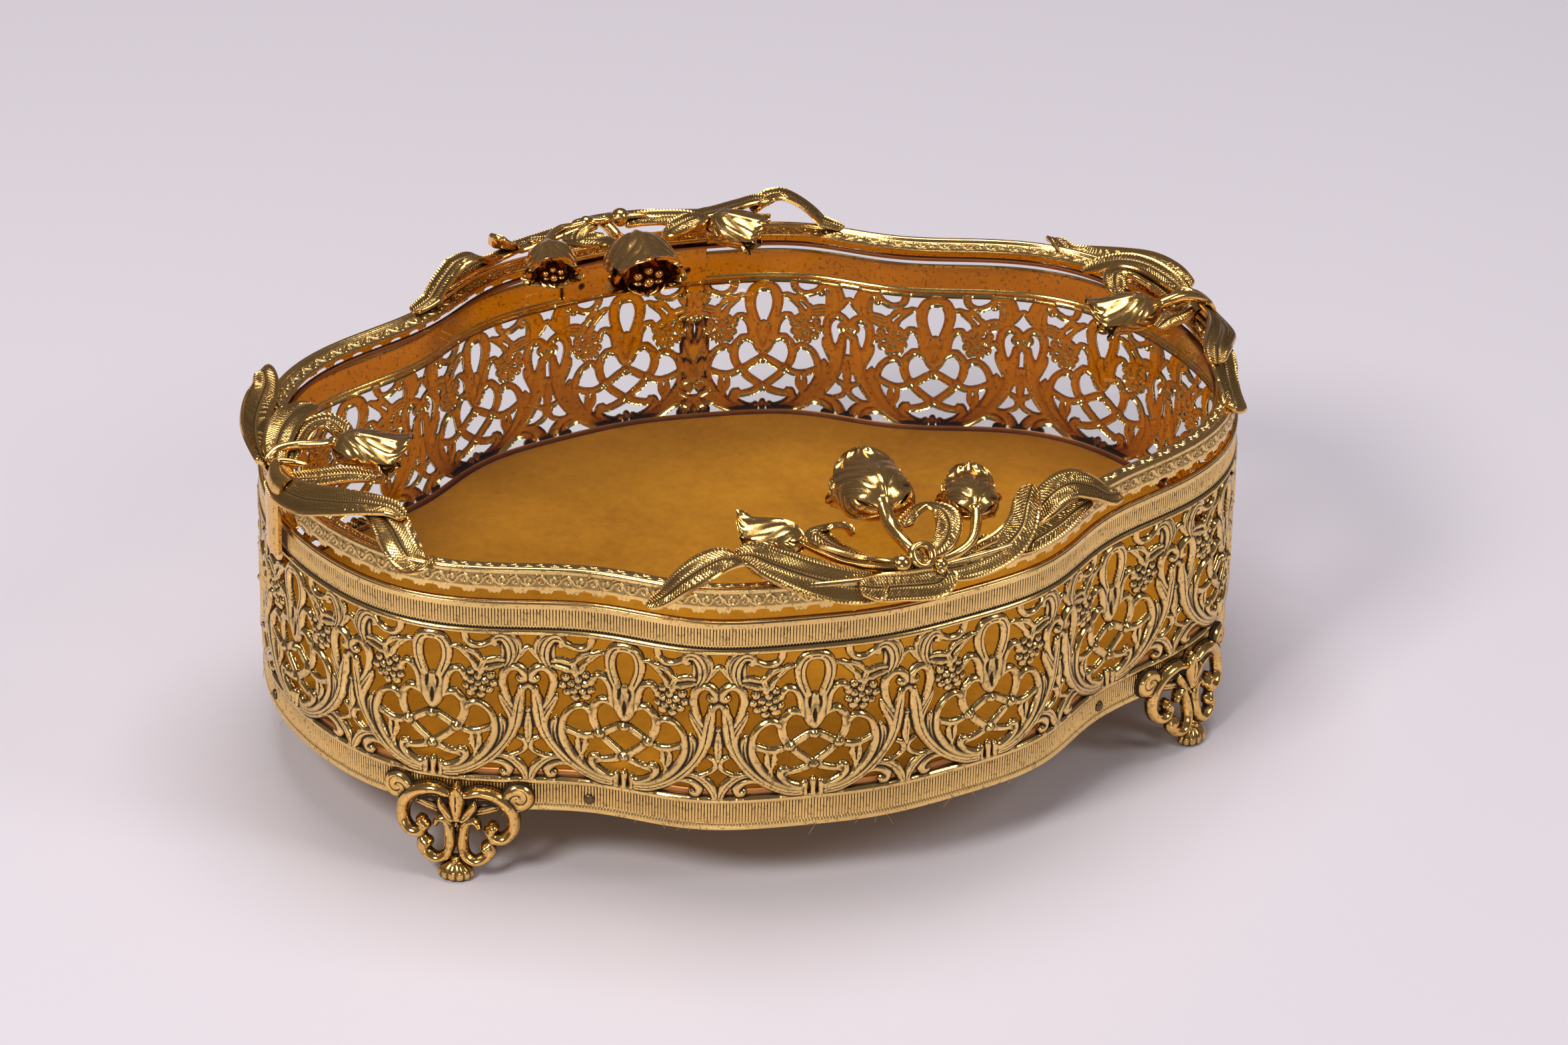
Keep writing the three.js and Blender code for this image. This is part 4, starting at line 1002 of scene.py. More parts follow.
def foot_fields():
    """Cover and relief of a foot's casting."""
    along = np.arange(-FOOT_SPAN, FOOT_SPAN, FOOT_STEP)
    up = np.arange(FOOT_LOW, FOOT_HIGH, FOOT_STEP)
    across, height = np.meshgrid(along, up, indexing="ij")
    cover, relief = np.full(across.shape, -1.0), np.zeros(across.shape)
    disc_a, disc_z, disc_r = FOOT_DISC
    for sign in (1, -1):
        for kind, rise, run in FOOT_STROKES:
            stroke_field(kind, rise, [(sign * u, v, r) for u, v, r in run], across, height, cover, relief)
        for u, v, radius, rise in FOOT_BEADS:
            inside = radius - np.hypot(across - sign * u, height - v)
            cover = np.maximum(cover, inside)
            dome = np.sqrt(np.clip(1 - (1 - np.clip(inside / radius, 0, 1)) ** 2, 0, 1))
            relief = np.maximum(relief, rise * dome)
        far = np.hypot(across - sign * disc_a, height - disc_z)
        turn = np.arctan2(height - disc_z, sign * (across - sign * disc_a))
        inside = disc_r - far
        cover = np.maximum(cover, inside)
        spiral = np.abs(((far - 0.55 * turn) / 1.75 + 0.35) % 1 - 0.5)
        groove = np.exp(-((spiral / 0.09) ** 2)) * (far < disc_r - 0.7) * (far > 0.5)
        bowl = 1.5 * smoothstep(0, 0.9, inside) - 0.4 * groove
        relief = np.maximum(relief, np.where(inside > 0, bowl, 0))
        for run in (COMB, LOWER_COMB):
            path = spline(run, 40)
            length = np.concatenate([[0], np.cumsum(np.hypot(*np.diff(path, axis=0).T))])
            for at in np.arange(0.3, length[-1], COMB_PITCH):
                u, v = (np.interp(at, length, path[:, k]) for k in (0, 1))
                near = np.hypot(across - sign * u, height - v)
                relief = relief + 0.5 * np.exp(-((near / 0.26) ** 2)) * (cover > 0)
    stroke_field(LEAF, 2.9, FOOT_PETAL, across, height, cover, relief)
    cover[0] = cover[-1] = cover[:, 0] = cover[:, -1] = -1.0
    return along, up, FOOT_STEP, cover, relief


def foot_lean(height):
    """How far the leg stands out from the wall, curving outward to the toe."""
    return 0.15 + 2.4 * (1 - smoothstep(2.0, 17.0, height))


# The toe's outline from the ground up: (height, radius).
TOE_PROFILE = np.array([(0.0, 0.01), (0.0, 2.7), (0.15, 3.5), (0.7, 4.15), (1.7, 4.35), (2.8, 3.9),
                        (3.7, 2.9), (4.5, 1.7), (5.0, 0.3)])
TOE_SIDES = 96
TOE_FLUTES = 13
FLUTE_DEPTH = 0.075


def toe(centre_arc):
    """The fluted shell that each foot stands on."""
    turn = np.arange(TOE_SIDES) / TOE_SIDES * math.tau
    z, r = TOE_PROFILE[:, :1], TOE_PROFILE[:, 1:]
    flute = 1 - FLUTE_DEPTH * (0.5 + 0.5 * np.cos(TOE_FLUTES * turn)) ** 2 * smoothstep(0.3, 3.0, r)
    u = r * flute * np.cos(turn)
    out = 2.9 + 0.8 * r * flute * np.sin(turn)
    points = on_wall(centre_arc + u, out, np.broadcast_to(z, u.shape)) / MM
    wear_and_shade = 0.85 - 0.6 * (1 - flute) / FLUTE_DEPTH * np.ones_like(z)
    return points.reshape(-1, 3), grid_faces(len(TOE_PROFILE), TOE_SIDES, wrap_columns=True), wear_and_shade.ravel()


def feet():
    """Four openwork feet on their toes."""
    u, v, relief, patina_and_shade, solid = relief_grid(*foot_fields())
    count = u.size
    used, faces = compact(relief_faces(solid[:-1], count, wraps=False), 2 * count)
    for name, angle in FOOT_ANGLES.items():
        centre = arc_at(angle)
        lean = foot_lean(v)
        front = on_wall(centre + u, lean + FOOT_PLATE + relief, v).reshape(-1, 3)
        back = on_wall(centre + u, lean + 0.45 * np.clip(relief - 1.0, 0, 2), v).reshape(-1, 3)
        points = np.concatenate([front, back])[used] / MM
        wear_and_shade = np.concatenate([patina_and_shade.ravel(), np.full(count, 0.5)])[used]
        points, part_faces, wear_and_shade = merge([(points, faces, wear_and_shade), toe(centre)])
        piece = new_mesh(f"foot_casting_{name}", points * MM, part_faces, CAST, wear_and_shade, crease=45)
        settle(piece, "case", "cast_gilt", f"foot_{name}")


# ---------- rivets, pins ----------
SHANK = 1.6


def dome_head(name, node, arc, out, height, radius, rise, material, slot):
    """A headed pin through the wall, its domed head outside."""
    origin = on_wall(arc, out, height) / MM
    axis = unit(on_wall(arc, out + 1, height) / MM - origin)
    turn = np.linspace(0, math.pi / 2, 8)
    shank = radius * 0.45
    profile = [(-SHANK, 0.01), (-SHANK, shank), (-0.02, shank), (0, radius * 0.96), (rise * 0.12, radius)]
    profile += [(rise * (0.12 + 0.88 * math.sin(t)), max(radius * math.cos(t), 0.01)) for t in turn[1:]]
    points, faces, relief = turned(origin, axis, profile)
    settle(new_mesh(name, points * MM, faces, material, relief, crease=35), "case", slot, node)


PIN_ANGLES = [0, 46.5, 133.5, 180, 226.5, 313.5]
PIN_HEIGHT = 21.8
HINGE_RIVET = 15.0
HINGE_RIVET_HEIGHT = 73.4


def pins():
    """Heads of the pan's pins, the feet's rivets and the lower hinge leaf's rivets."""
    for number, angle in enumerate(PIN_ANGLES, 1):
        dome_head(f"pan_pin_head_{number}", f"pan_pin_{number}", arc_at(angle), -0.1, PIN_HEIGHT,
                  1.35, 0.75, DARK_BRASS, "dark_brass")
    for name, angle in FOOT_ANGLES.items():
        for number, side in enumerate((-1, 1), 1):
            dome_head(f"foot_rivet_head_{name}_{number}", f"foot_rivet_{name}_{number}",
                      arc_at(angle) + side * FOOT_DISC[0], 1.9, FOOT_DISC[1], 0.8, 0.35, CAST, "cast_gilt")
    for number, side in enumerate((-1, 1), 1):
        dome_head(f"case_hinge_head_{number}", f"case_hinge_rivet_{number}", ARC_BACK + side * HINGE_RIVET,
                  0.0, HINGE_RIVET_HEIGHT, 1.2, 0.6, DARK_BRASS, "dark_brass")


# ---------- cast tulip sprays on the lid ----------
HATCH_PITCH = 0.78
HATCH_DEPTH = 0.3
BLADE_WIDEN = 1.55
BLADE_THICKNESS = 1.25
BLADE_STEP = 0.17
BLADE_COLUMNS = 21
# Below and outside this place on the bezel, drape takes effect.
RIM_HEIGHT = 85.4
RIM_INSET = 2.4


class Spray:
    """Places a casting's points: along the wall from its centre, inward from the wall, and up.

    drape scales how far it hangs outside and below the rim, and how much its leaves roll;
    lift raises its middle, and droop lowers its far end.
    """

    def __init__(self, centre, mirror=1, drape=1.0, lift=0.0, droop=0.0):
        self.centre, self.mirror, self.drape, self.lift, self.droop = centre, mirror, drape, lift, droop

    def place(self, run):
        run = np.asarray(run, float)
        along, inward, height = run[..., 0], run[..., 1], run[..., 2]
        height = np.where(height < RIM_HEIGHT, RIM_HEIGHT + (height - RIM_HEIGHT) * self.drape, height)
        inward = np.where(inward < RIM_INSET, RIM_INSET + (inward - RIM_INSET) * self.drape, inward)
        height = height + self.lift * np.clip(1 - inward / 9, 0, 1) * np.exp(-((along / 36) ** 2))
        height = height - self.droop * smoothstep(20, 48, -along)
        return on_wall(self.centre + self.mirror * along, -inward, height) / MM


def blade(spray, run):
    """A strap-shaped leaf: (along, inward, height, half width, roll) at each point of its middle line."""
    run = np.asarray(run, float)
    rough = np.linalg.norm(np.diff(run[:, :3], axis=0), axis=1).sum()
    path = spline(run, max(12, int(rough / BLADE_STEP)))
    line = spray.place(path[:, :3])
    step = np.linalg.norm(np.diff(line, axis=0), axis=1)
    length = np.concatenate([[0], np.cumsum(step)])
    tangent = unit(np.gradient(line, axis=0))
    side = unit(np.cross(tangent, (0, 0, 1.0)))
    normal = np.cross(side, tangent)
    roll = np.radians(path[:, 4])[:, None] * math.copysign(spray.drape, spray.mirror)
    across = side * np.cos(roll) - normal * np.sin(roll)
    face = normal * np.cos(roll) + side * np.sin(roll)
    w = np.linspace(-1, 1, BLADE_COLUMNS)
    ends = np.minimum(length, length[-1] - length)
    half = BLADE_WIDEN * path[:, 3] * np.sqrt(np.clip(1 - (1 - np.clip(ends / 1.4, 0, 1)) ** 2, 0.004, 1))
    aside = np.abs(w)
    midrib = np.exp(-((w / 0.13) ** 2))
    body = 0.42 * (1 - w**2) - 0.5 * midrib + 0.32 * np.exp(-(((aside - 0.9) / 0.1) ** 2))
    slant = length[:, None] + 0.75 * aside * half[:, None]
    hatch = (0.5 + 0.5 * np.cos(slant / HATCH_PITCH * math.tau)) ** 1.5
    field = smoothstep(0.1, 0.22, aside) * (1 - smoothstep(0.76, 0.86, aside))
    shrink = np.clip(half / 2.4, 0.25, 1)[:, None]
    height = shrink * body - HATCH_DEPTH * hatch * field * smoothstep(0.6, 1.4, half)[:, None]
    top = line[:, None] + across[:, None] * (w[None, :, None] * half[:, None, None])
    top = top + face[:, None] * height[..., None]
    depth = BLADE_THICKNESS * np.clip(half / 2.0, 0.3, 1)[:, None] * (0.45 + 0.55 * (1 - w**4))
    low = top - face[:, None] * (depth + height * 0.6)[..., None]
    ring = np.concatenate([top, low[:, ::-1]], 1)
    # Painted shade in the hatch grooves and the midrib, painted highlight along the raised edges.
    shade = 0.72 - 0.62 * hatch * field - 0.5 * np.exp(-((w / 0.14) ** 2)) + 0.28 * (aside > 0.84)
    wear_and_shade = np.concatenate([np.clip(shade, 0, 1), np.full(shade.shape, 0.7)], 1)
    faces = grid_faces(ring.shape[0], ring.shape[1], wrap_columns=True)
    return ring.reshape(-1, 3), faces, wear_and_shade.ravel()


STEM_POINTS = 48


def stem(spray, run, collar=None):
    """A round stalk: (along, inward, height, radius), with a raised collar at a place along it."""
    run = np.asarray(run, float)
    path = spline(run, STEM_POINTS)
    at = np.linspace(0, 1, STEM_POINTS)
    radii = path[:, 3].copy()
    if collar is not None:
        radii += 0.55 * np.exp(-(((at - collar) / 0.025) ** 2))
    radii *= np.sqrt(np.clip(1 - (1 - np.clip(np.minimum(at, 1 - at) / 0.04, 0, 1)) ** 2, 0.01, 1))
    return tube(spray.place(path[:, :3]), radii, sides=16)


STAMENS = 6
# A lying flower is flattened, more so underneath, where it clears the glass.
UPPER_SQUASH = 0.86
LOWER_SQUASH = 0.46
# A petal's outline: (share of the flower's length, share of its radius).
CUP = [(0.0, 0.2), (0.05, 0.5), (0.15, 0.8), (0.34, 1.0), (0.6, 1.03), (0.8, 1.05), (0.92, 1.08), (1.0, 1.14)]


def petal(length, radius, turn, spread, lift, curl, wave, reach):
    """One petal in the flower's own frame: axis along Z, thin, veined and frilled at its lip."""
    rows, columns = ((40, 31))
    t = np.linspace(0, 1, rows)[:, None]
    w = np.linspace(-1, 1, columns)[None]
    cup = spline(CUP, 80)
    bulb = np.interp(t, cup[:, 0], cup[:, 1]) * radius
    cap = np.sqrt(np.clip(1 - (np.clip(t - 0.8, 0, 1) / 0.202) ** 2, 0.002, 1))
    wide = spread * (0.72 + 0.28 * np.sin(math.pi * np.clip(t, 0, 1) ** 0.8)) * cap
    angle = turn + w * wide
    lip = smoothstep(0.72, 1.0, t)
    frill = lip * (0.42 * np.cos(5 * math.pi * w + wave) + 0.2 * np.cos(11 * w + 2 * wave))
    sweep = 4.2 * t - 2.4 * np.abs(w) ** 0.75 + 0.22 * np.sin(7 * t + wave) + 0.16 * np.sin(5 * w + 2 * wave)
    veins = -0.34 * (0.5 + 0.5 * np.cos(math.tau * sweep)) ** 1.6 * smoothstep(0.05, 0.2, t) * (1 - 0.6 * t)
    veins = veins * smoothstep(0.05, 0.16, np.abs(w))
    midrib = 0.75 * np.exp(-((w / 0.085) ** 2)) * (1 - 0.75 * t)
    r = bulb + lift + curl * lip**2 + frill + (veins * (1 - 0.5 * lip) + midrib) * min(1, radius / 6)
    z = length * reach * t + 0.35 * lip * np.cos(4 * w + wave) - 0.35 * curl * lip**3
    thin = 0.5 * (1 - 0.3 * lip)
    c, s = np.cos(angle), np.sin(angle)
    top = np.stack([r * c, r * s, np.broadcast_to(z, r.shape)], -1)
    low = np.stack([(r - thin) * c, (r - thin) * s, np.broadcast_to(z - 0.1 * lip, r.shape)], -1)
    ring = np.concatenate([top, low[:, ::-1]], 1)
    # Painted shade in the veins, painted highlight on the lip and the midrib.
    shade = 0.72 + 1.7 * veins + 0.25 * lip + midrib
    wear_and_shade = np.concatenate([np.clip(shade, 0.08, 1), np.full(shade.shape, 0.8)], 1)
    return ring.reshape(-1, 3), grid_faces(rows, ring.shape[1], wrap_columns=True), wear_and_shade.ravel()


def flower(length, radius, seed):
    """A tulip: three broad outer petals, three inner ones and a cluster of beaded stamens."""
    shape = np.random.default_rng(seed)
    parts = []
    for k in range(3):
        turn = math.tau * k / 3
        spread, reach = (1.2, 1.12) if k == 0 else (1.05, 0.9)
        curl = 0.9 + shape.uniform(-0.4, 0.4)
        parts.append(petal(length, radius, turn, spread, 0.5 - 0.25 * k, curl, shape.uniform(0, 6), reach))
    for k in range(3):
        turn = math.tau * (k + 0.5) / 3
        parts.append(petal(length, radius * 0.86, turn, 0.85, -0.1, 0.9, shape.uniform(0, 6), 0.97))
    for k in range(STAMENS + 1):
        angle = math.tau * k / STAMENS
        spread, height = (0, 0.93) if k == STAMENS else (0.36 * radius, 0.86)
        tip = np.array([spread * math.cos(angle), spread * math.sin(angle), length * height])
        root = np.array([0.1 * tip[0], 0.1 * tip[1], length * 0.2])
        path = root + np.linspace(0, 1, 8)[:, None] * (tip - root)
        parts.append(tube(path, np.full(8, 0.07 * radius), sides=8))
        bead = turned(tip, (0, 0, 1), sphere_profile(0.15 * radius), sides=12, relief=0.9)
        parts.append(bead)
    return merge(parts)


def tulip(spray, base, direction, length, radius, seed, spin):
    """A flower set at a base point, its axis along (along, inward, up) and its first petal upward."""
    origin = spray.place(np.array(base))
    step = 0.5 * unit(np.array(direction, float))
    axis = unit(spray.place(np.array(base) + step) - spray.place(np.array(base) - step))
    up = unit(np.array((0, 0, 1.0)) - axis * axis[2])
    side = np.cross(axis, up)
    spun_up = up * math.cos(spin) + side * math.sin(spin)
    spun_side = side * math.cos(spin) - up * math.sin(spin)
    points, faces, wear_and_shade = flower(length, radius, seed)
    cup = points[:, :1] * spun_up + points[:, 1:2] * spun_side
    rise = cup @ up
    lying = cup - ((1 - np.where(rise > 0, UPPER_SQUASH, LOWER_SQUASH)) * rise)[:, None] * up
    return origin + lying + points[:, 2:] * axis, faces, wear_and_shade


# Leaves and ribbons, each a run of (along, inward, height, half width, roll in degrees).
LONG_BLADES = [
    # outer left leaf, folded over at its crest, and the long leaf under it
    [(-65.5, -2.9, 80.4, 0.9, 25), (-62, -2.6, 82.6, 1.7, 30), (-57, -1.4, 87.6, 2.3, 34),
     (-52, 0.2, 91.0, 2.5, 30), (-47.5, 1.6, 92.4, 2.3, 15), (-43, 3.0, 91.0, 2.0, -10),
     (-39.5, 3.2, 87.8, 1.6, -20)],
    [(-45.5, 4.2, 91.4, 1.3, 20), (-41, 4.0, 91.6, 2.3, 34), (-35, 3.2, 89.0, 2.8, 44),
     (-28, 2.4, 86.0, 3.0, 50), (-20, 1.2, 83.6, 3.0, 54), (-13, 0.2, 82.4, 2.6, 50),
     (-8.5, -0.4, 83.0, 1.6, 40)],
    # belt wrapped over the ridge below the knot
    [(-15.8, -0.6, 83.6, 1.3, 40), (-11, -0.8, 82.6, 2.2, 62), (-5.5, -1.2, 82.2, 2.3, 66),
     (0, -1.6, 81.6, 2.5, 60), (4, -1.7, 81.4, 2.4, 50), (6.6, -0.4, 82.8, 1.9, 25),
     (5.2, 1.2, 84.6, 1.3, 0)],
    [(3.5, 0.2, 83.8, 1.2, 45), (10, 0.4, 82.8, 2.3, 54), (17, 0.9, 82.8, 2.7, 52), (24, 1.4, 84.2, 2.7, 44),
     (29.6, 2.5, 87.4, 2.5, 30), (33.4, 4.8, 91.6, 2.2, 10), (36.0, 5.6, 95.2, 1.4, 0)],
    [(33, 3.4, 86.2, 1.3, 40), (38.5, 4.6, 88.4, 2.1, 36), (43.5, 3.8, 91.0, 2.4, 34),
     (49.3, 2.4, 91.2, 2.5, 38), (55, -0.2, 88.4, 2.3, 42), (61, -1.6, 84.0, 2.0, 34),
     (66, -1.4, 82.0, 1.2, 20)],
    # thin leaf lying along the ridge on the right
    [(22, 1.2, 83.8, 1.0, 40), (30, 0.6, 83.4, 1.7, 46), (40, 0.2, 84.6, 1.8, 44), (48, 0.0, 85.6, 1.5, 40),
     (54, -0.6, 85.4, 0.9, 40)],
    # looped ribbons inside the ridge, left and right of the great tulip
    [(-4.0, 4.4, 85.8, 1.3, 25), (-9, 4.6, 87.0, 2.0, 28), (-15, 6.0, 88.6, 2.2, 20),
     (-20.5, 8.2, 90.6, 2.3, 10), (-23.6, 11.0, 92.2, 2.1, -15), (-20.5, 13.4, 92.6, 2.2, -30),
     (-15.5, 14.6, 91.4, 2.2, -20), (-12.4, 14.0, 89.2, 1.3, 0)],
    [(3.4, 3.4, 86.0, 1.3, 10), (8.2, 4.6, 87.4, 1.9, 0), (12.0, 8.0, 89.6, 2.1, 0),
     (12.6, 12.0, 91.6, 2.2, 10), (9.2, 15.0, 92.4, 2.2, 25), (4.8, 14.4, 91.2, 2.0, 30),
     (1.8, 12.4, 89.4, 1.2, 20)],
    # small sprigs
    [(-39, 2.8, 86.6, 0.7, 30), (-34, 3.4, 86.0, 1.2, 30), (-28, 3.0, 85.4, 0.8, 30)],
    [(14, 2.8, 84.8, 0.8, 20), (19, 3.4, 86.0, 1.2, 10), (23, 2.4, 86.2, 0.7, 0)],
]
# Stalks, each a run of (along, inward, height, radius) and the place of its collar.
LONG_STEMS = [
    ([(2.0, 1.8, 84.6, 1.35), (0.8, 4.6, 86.4, 1.45), (-0.6, 9.5, 88.0, 1.6), (-0.6, 15.5, 89.0, 1.85),
      (0.0, 21.0, 92.4, 2.0), (0.6, 25.4, 94.6, 1.3)], 0.8),
    ([(-3, 2.4, 85.0, 1.2), (-10, 3.6, 86.0, 1.2), (-18, 6.2, 87.0, 1.25), (-24.5, 9.2, 89.4, 1.4),
      (-30.0, 11.9, 91.2, 0.9)], 0.9),
    ([(4.5, 2.0, 84.6, 1.1), (11, 2.0, 85.6, 1.15), (16, 3.8, 87.0, 1.2), (19.6, 8.0, 89.8, 1.4),
      (21.8, 12.4, 91.8, 0.9)], 0.88),
]
# Tulips: (base, direction of the axis, length, radius, seed, spin).
LONG_TULIPS = {
    "centre": ((0.2, 18.6, 90.6), (0.17, 1.0, -0.16), 17.5, 8.8, 3, 0.0),
    "large_side": ((-26.6, 10.6, 89.4), (-0.9, 0.44, -0.1), 15.0, 6.0, 8, 0.25),
    "small_side": ((20.4, 9.6, 89.4), (0.42, 0.88, -0.12), 13.5, 6.2, 17, 0.1),
}
SHORT_BLADES = [
    # outer leaves from the tab to the curled end
    [(-8, -1.0, 87.2, 1.3, 30), (-15, -1.0, 87.8, 2.0, 34), (-24, -0.7, 87.4, 2.4, 30),
     (-34, -0.2, 86.8, 2.5, 22), (-43, 0.2, 86.4, 2.5, 12), (-49.0, 0.0, 86.8, 2.2, -5),
     (-52.6, -1.6, 88.2, 1.7, -20), (-54.6, -3.4, 86.8, 1.0, -30)],
    [(-6, 1.4, 87.0, 1.2, 10), (-12, 3.0, 89.0, 2.2, 5), (-18, 5.6, 91.0, 2.6, 0), (-24.5, 9.0, 91.4, 2.6, 0),
     (-31, 12.4, 90.0, 2.1, 5), (-35, 14.4, 88.6, 1.0, 5)],
    [(-8, 6.0, 86.6, 1.1, -10), (-13.2, 8.6, 89.0, 1.8, -15), (-17.4, 12.4, 91.4, 2.0, -10),
     (-17.4, 16.6, 92.2, 2.0, 0), (-13.0, 19.4, 91.0, 1.8, 10), (-10, 19.8, 89.0, 1.0, 15)],
    [(-1, 1.0, 86.2, 1.1, 30), (4, 7.0, 87.4, 1.6, 30), (9.6, 13.6, 89.0, 1.7, 20),
     (16.4, 18.6, 89.6, 1.0, 10)],
    # long leaf to the other end, and the broad drooping leaf beyond it
    [(-4, -1.2, 86.0, 1.3, 40), (3, -0.6, 86.0, 2.4, 40), (12, 0.6, 87.4, 2.8, 36), (21, 2.8, 90.0, 2.7, 26),
     (30, 5.0, 92.2, 2.5, 14), (38, 6.2, 93.2, 2.2, 0), (43.6, 6.0, 92.0, 1.3, -20)],
    [(31, 4.8, 91.4, 1.5, 10), (36, 5.0, 91.6, 2.5, 20), (40.4, 4.2, 89.6, 2.9, 30),
     (44.0, 2.8, 86.4, 2.9, 36), (48.0, 1.0, 84.0, 2.5, 30), (51.4, 0.4, 84.0, 1.8, 5),
     (53.4, 1.6, 86.0, 1.0, -20)],
    [(-30, 2.4, 85.6, 0.9, 20), (-22, 2.2, 86.2, 1.6, 26), (-12, 1.6, 86.0, 1.6, 30),
     (-4, 1.2, 85.4, 1.0, 30)],
]
SHORT_STEMS = [
    ([(-8.5, -0.8, 87.6, 0.9), (-11.2, 3.0, 88.6, 1.2), (-11, 8.0, 89.2, 1.25), (-8.2, 13.4, 89.8, 1.3),
      (-4.6, 18.4, 91.4, 0.9)], 0.9),
    ([(-2, -1.0, 87.2, 0.9), (-7, 1.6, 87.6, 1.0), (-6.0, 5.6, 87.4, 0.8), (-3.4, 8.6, 87.2, 0.6)], None),
]
LEFT_TULIP = ((-6.6, 16.0, 89.6), (0.62, 0.74, -0.08), 17.5, 5.9, 21, 0.2)
RIGHT_TULIP = ((3.8, 15.6, 89.8), (-0.12, 1.0, -0.14), 16.5, 6.2, 5, -0.15)
RIGHT_STEM = [(1.5, -0.6, 87.6, 1.0), (2.2, 3.0, 90.0, 1.3), (3.0, 8.0, 91.6, 1.4), (3.6, 13.0, 91.0, 1.5),
              (3.8, 17.5, 89.8, 1.1)]
BUDS = (((-4.0, 2.8, 85.6), 2.5), ((5.6, 1.0, 84.0), 1.9))


def knot(spray):
    """The ring tied round the great tulip's stalk, with the two buds in it."""
    turn = np.arange(40) / 40 * math.tau
    ring = np.stack([1.9 + 2.7 * np.cos(turn), 3.2 + 1.8 * np.sin(turn), 86.6 + 1.9 * np.sin(turn)], -1)
    parts = [tube(spray.place(ring), 1.1 + 0.2 * np.cos(2 * turn), sides=12, closed=True)]
    for place, radius in BUDS:
        origin = spray.place(np.array(place))
        parts.append(turned(origin, (0.5, 0.3, 0.8), sphere_profile(radius), sides=18))
    return parts


# The tab's middle line from inside the rim, over it and down: (inward, height).
TAB_LINE = [(3.2, 87.6), (0.4, 88.8), (-1.5, 87.0), (-2.2, 82.5), (-2.3, 76.5), (-2.3, 70.0), (-2.2, 67.2)]
TAB_HALF_WIDTH = 4.2


def tab(spray):
    """The tongue that laps down over the wall's rim at the middle of a short spray."""
    rows, columns = 40, 19
    down = spline(TAB_LINE, rows)
    w = np.linspace(-1, 1, columns)
    length = np.linspace(0, 1, rows)
    end = np.sqrt(np.clip(1 - (np.clip(length - 0.88, 0, 1) / 0.121) ** 2, 0.003, 1))
    half = TAB_HALF_WIDTH * (1 - 0.14 * length) * end
    crown = 0.7 * (1 - w**2)
    a = w[None] * half[:, None]
    inward = down[:, :1] - crown[None] * 0.9
    height = np.broadcast_to(down[:, 1:], a.shape)
    flat = Spray(spray.centre, spray.mirror)
    top = flat.place(np.stack([a, inward, height], -1))
    behind = np.broadcast_to(down[:, :1] + 0.9, a.shape)
    low = flat.place(np.stack([a, behind, height - 0.4 * (height > 85)], -1))
    ring = np.concatenate([top, low[:, ::-1]], 1)
    wear_and_shade = np.full(rows * 2 * columns, 0.8)
    return ring.reshape(-1, 3), grid_faces(rows, 2 * columns, wrap_columns=True), wear_and_shade


def casting_piece(name, parts, *nodes):
    """Joins the parts of a casting into one piece of the lid."""
    points, faces, wear_and_shade = merge(parts)
    settle(new_mesh(name, points * MM, faces, CAST, wear_and_shade, crease=50), "lid", "cast_gilt", *nodes)


def oriented(part):
    """The part with its faces outward, so that joining parts never mixes directions."""
    points, faces, wear_and_shade = part
    if signed_volume(points, np.asarray(faces)) < 0:
        faces = np.asarray(faces)[:, ::-1]
    return points, faces, wear_and_shade


def long_spray(name, centre, drape, lift):
    """The front or back casting: leaves and ribbons in one piece, and three tulips."""
    spray = Spray(centre, 1, drape, lift)
    parts = [oriented(blade(spray, run)) for run in LONG_BLADES]
    parts += [oriented(stem(spray, run, collar)) for run, collar in LONG_STEMS]
    parts += [oriented(part) for part in knot(spray)]
    casting_piece(f"{name}_leaves", parts, f"ribbon_{name}")
    for flower_name, bloom in LONG_TULIPS.items():
        casting_piece(f"{name}_tulip_{flower_name}", [tulip(spray, *bloom)], f"tulip_{name}_{flower_name}")


def short_spray(name, centre, mirror, droop, stems, bloom):
    """The left or right casting: leaves, tab and one tulip."""
    spray = Spray(centre, mirror, droop=droop)
    parts = [oriented(blade(spray, run)) for run in SHORT_BLADES]
    parts += [oriented(stem(spray, run, collar)) for run, collar in stems]
    parts.append(oriented(tab(spray)))
    casting_piece(f"{name}_leaves", parts, f"ribbon_{name}")
    casting_piece(f"{name}_tulip", [tulip(spray, *bloom)], f"tulip_{name}")


# ---------- CAD pieces kept as they are ----------
KEPT = {"hinge_leaf_lower": STAMPED, "hinge_leaf_upper": STAMPED, "hinge_pin": DARK_BRASS, "pad_board": BOARD,
        "lid_hinge_rivet_1": DARK_BRASS, "lid_hinge_rivet_2": DARK_BRASS}


def kept_pieces():
    for name, material in KEPT.items():
        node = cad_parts[name]
        for slot in node.material_slots:
            slot.material = material
        if material is STAMPED:
            wear_and_shade = node.data.attributes.new("relief", "FLOAT", "POINT")
            wear_and_shade.data.foreach_set("value", [0.8] * len(node.data.vertices))


# ---------- stage ----------
CAMERA_PLACE = (-438.8, -1165.8, 767.9)
CAMERA_AIM = (-20.6, -76.7, 93.8)
CAMERA_ROLL = 1.31
LENS = 131.8


def camera():
    data = bpy.data.cameras.new("camera")
    data.lens, data.sensor_width = LENS, 36
    data.clip_end = 20
    eye = bpy.data.objects.new("camera", data)
    bpy.context.scene.collection.objects.link(eye)
    place, aim = Vector(CAMERA_PLACE) * MM, Vector(CAMERA_AIM) * MM
    eye.location = place
    turn = (aim - place).to_track_quat("-Z", "Y").to_matrix().to_4x4()
    eye.rotation_euler = (turn @ Euler((0, 0, math.radians(CAMERA_ROLL))).to_matrix().to_4x4()).to_euler()
    bpy.context.scene.camera = eye


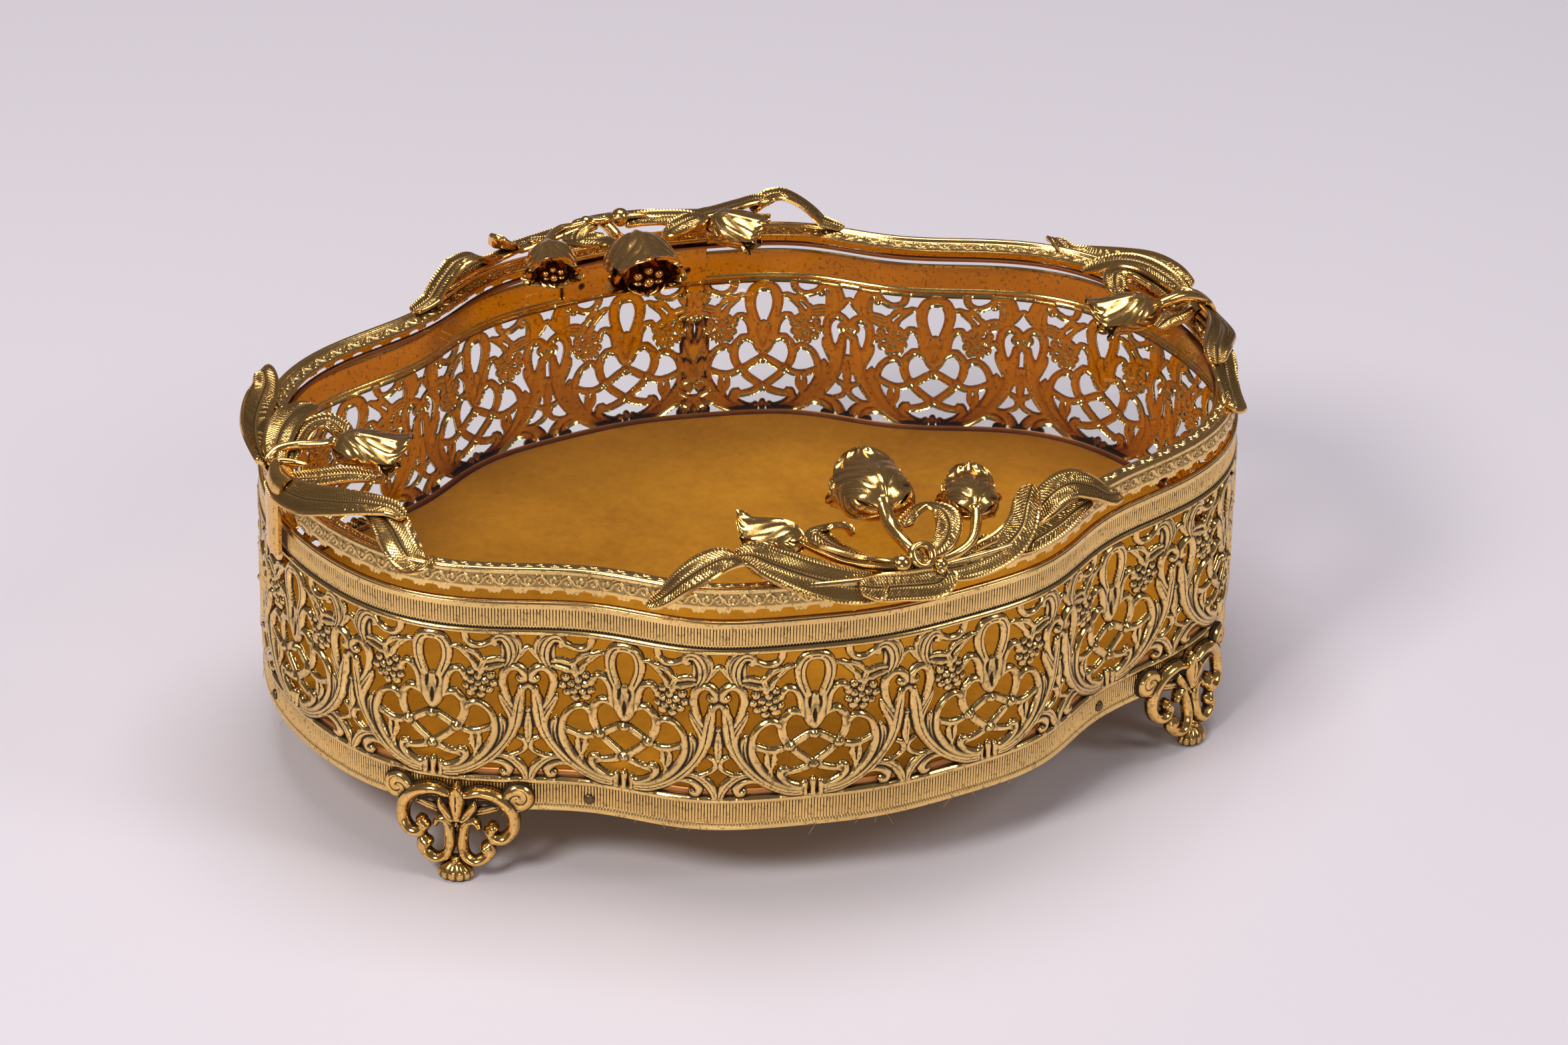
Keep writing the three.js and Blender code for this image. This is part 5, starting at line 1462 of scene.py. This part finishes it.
def lamp(name, place, aim, size, power, colour=(1, 1, 1)):
    data = bpy.data.lights.new(name, "AREA")
    data.shape = "RECTANGLE"
    data.size, data.size_y = size
    data.energy = power
    data.color = colour
    light = bpy.data.objects.new(name, data)
    bpy.context.scene.collection.objects.link(light)
    light.location = place
    light.rotation_euler = (Vector(aim) - Vector(place)).to_track_quat("-Z", "Y").to_euler()


def backdrop():
    """A pale table sweeping up behind into a pale wall."""
    run = [(-4.0, 0.0), (3.0, 0.0)]
    run += [(3.0 + 0.8 * math.sin(t), 0.8 - 0.8 * math.cos(t)) for t in np.linspace(0.1, math.pi / 2, 14)]
    run += [(3.8, 3.0)]
    run = np.array(run)
    x = np.array([-4.0, 4.0])
    points = np.stack(np.broadcast_arrays(x[:, None], run[:, 0], run[:, 1]), -1).reshape(-1, 3)
    material, _, shader = node_material("backdrop")
    shader.inputs["Base Color"].default_value = (0.75, 0.71, 0.76, 1)
    shader.inputs["Roughness"].default_value = 0.32
    shader.inputs["Specular IOR Level"].default_value = 0.35
    sweep = new_mesh("backdrop", points, grid_faces(2, len(run))[:, ::-1], material)


def lights():
    world = bpy.data.worlds.new("studio")
    world.use_nodes = True
    world.node_tree.nodes["Background"].inputs["Color"].default_value = (0.66, 0.6, 0.66, 1)
    world.node_tree.nodes["Background"].inputs["Strength"].default_value = 0.2
    bpy.context.scene.world = world
    bpy.context.scene.view_settings.view_transform = "Standard"
    lamp("key", (-1.0, -0.55, 1.15), (0, 0, 0.03), (0.45, 0.45), 13, (1, 0.97, 0.93))
    lamp("top", (0.1, 0.3, 1.5), (0, 0.1, 0.05), (1.0, 0.8), 13, (1, 0.97, 1))
    lamp("rim", (0.8, -0.7, 0.9), (0, 0, 0.05), (0.35, 0.5), 3.2)
    lamp("low_front", (-0.5, -1.6, 0.45), (0, 0, 0.04), (0.7, 0.2), 2.2)


# Arc positions of the castings' middles.
SPRAY_FRONT, SPRAY_BACK, SPRAY_LEFT = ARC_FRONT + 8.0, ARC_BACK + 8.0, ARC_LEFT + 8.0
SPRAY_RIGHT = PERIMETER + 5.8


def main():
    gallery_repeats()
    bands()
    base_pan()
    base_felt()
    felt_fibres()
    velvet_pad()
    feet()
    pins()
    bezel()
    lid_glass()
    retaining_ring()
    long_spray("front", SPRAY_FRONT, drape=1.0, lift=0.0)
    long_spray("back", SPRAY_BACK, drape=0.25, lift=7.0)
    short_spray("left", SPRAY_LEFT, 1, 0.0, SHORT_STEMS, LEFT_TULIP)
    short_spray("right", SPRAY_RIGHT, -1, 3.2, [(RIGHT_STEM, 0.85), SHORT_STEMS[1]], RIGHT_TULIP)
    kept_pieces()
    backdrop()
    lights()
    camera()


main()
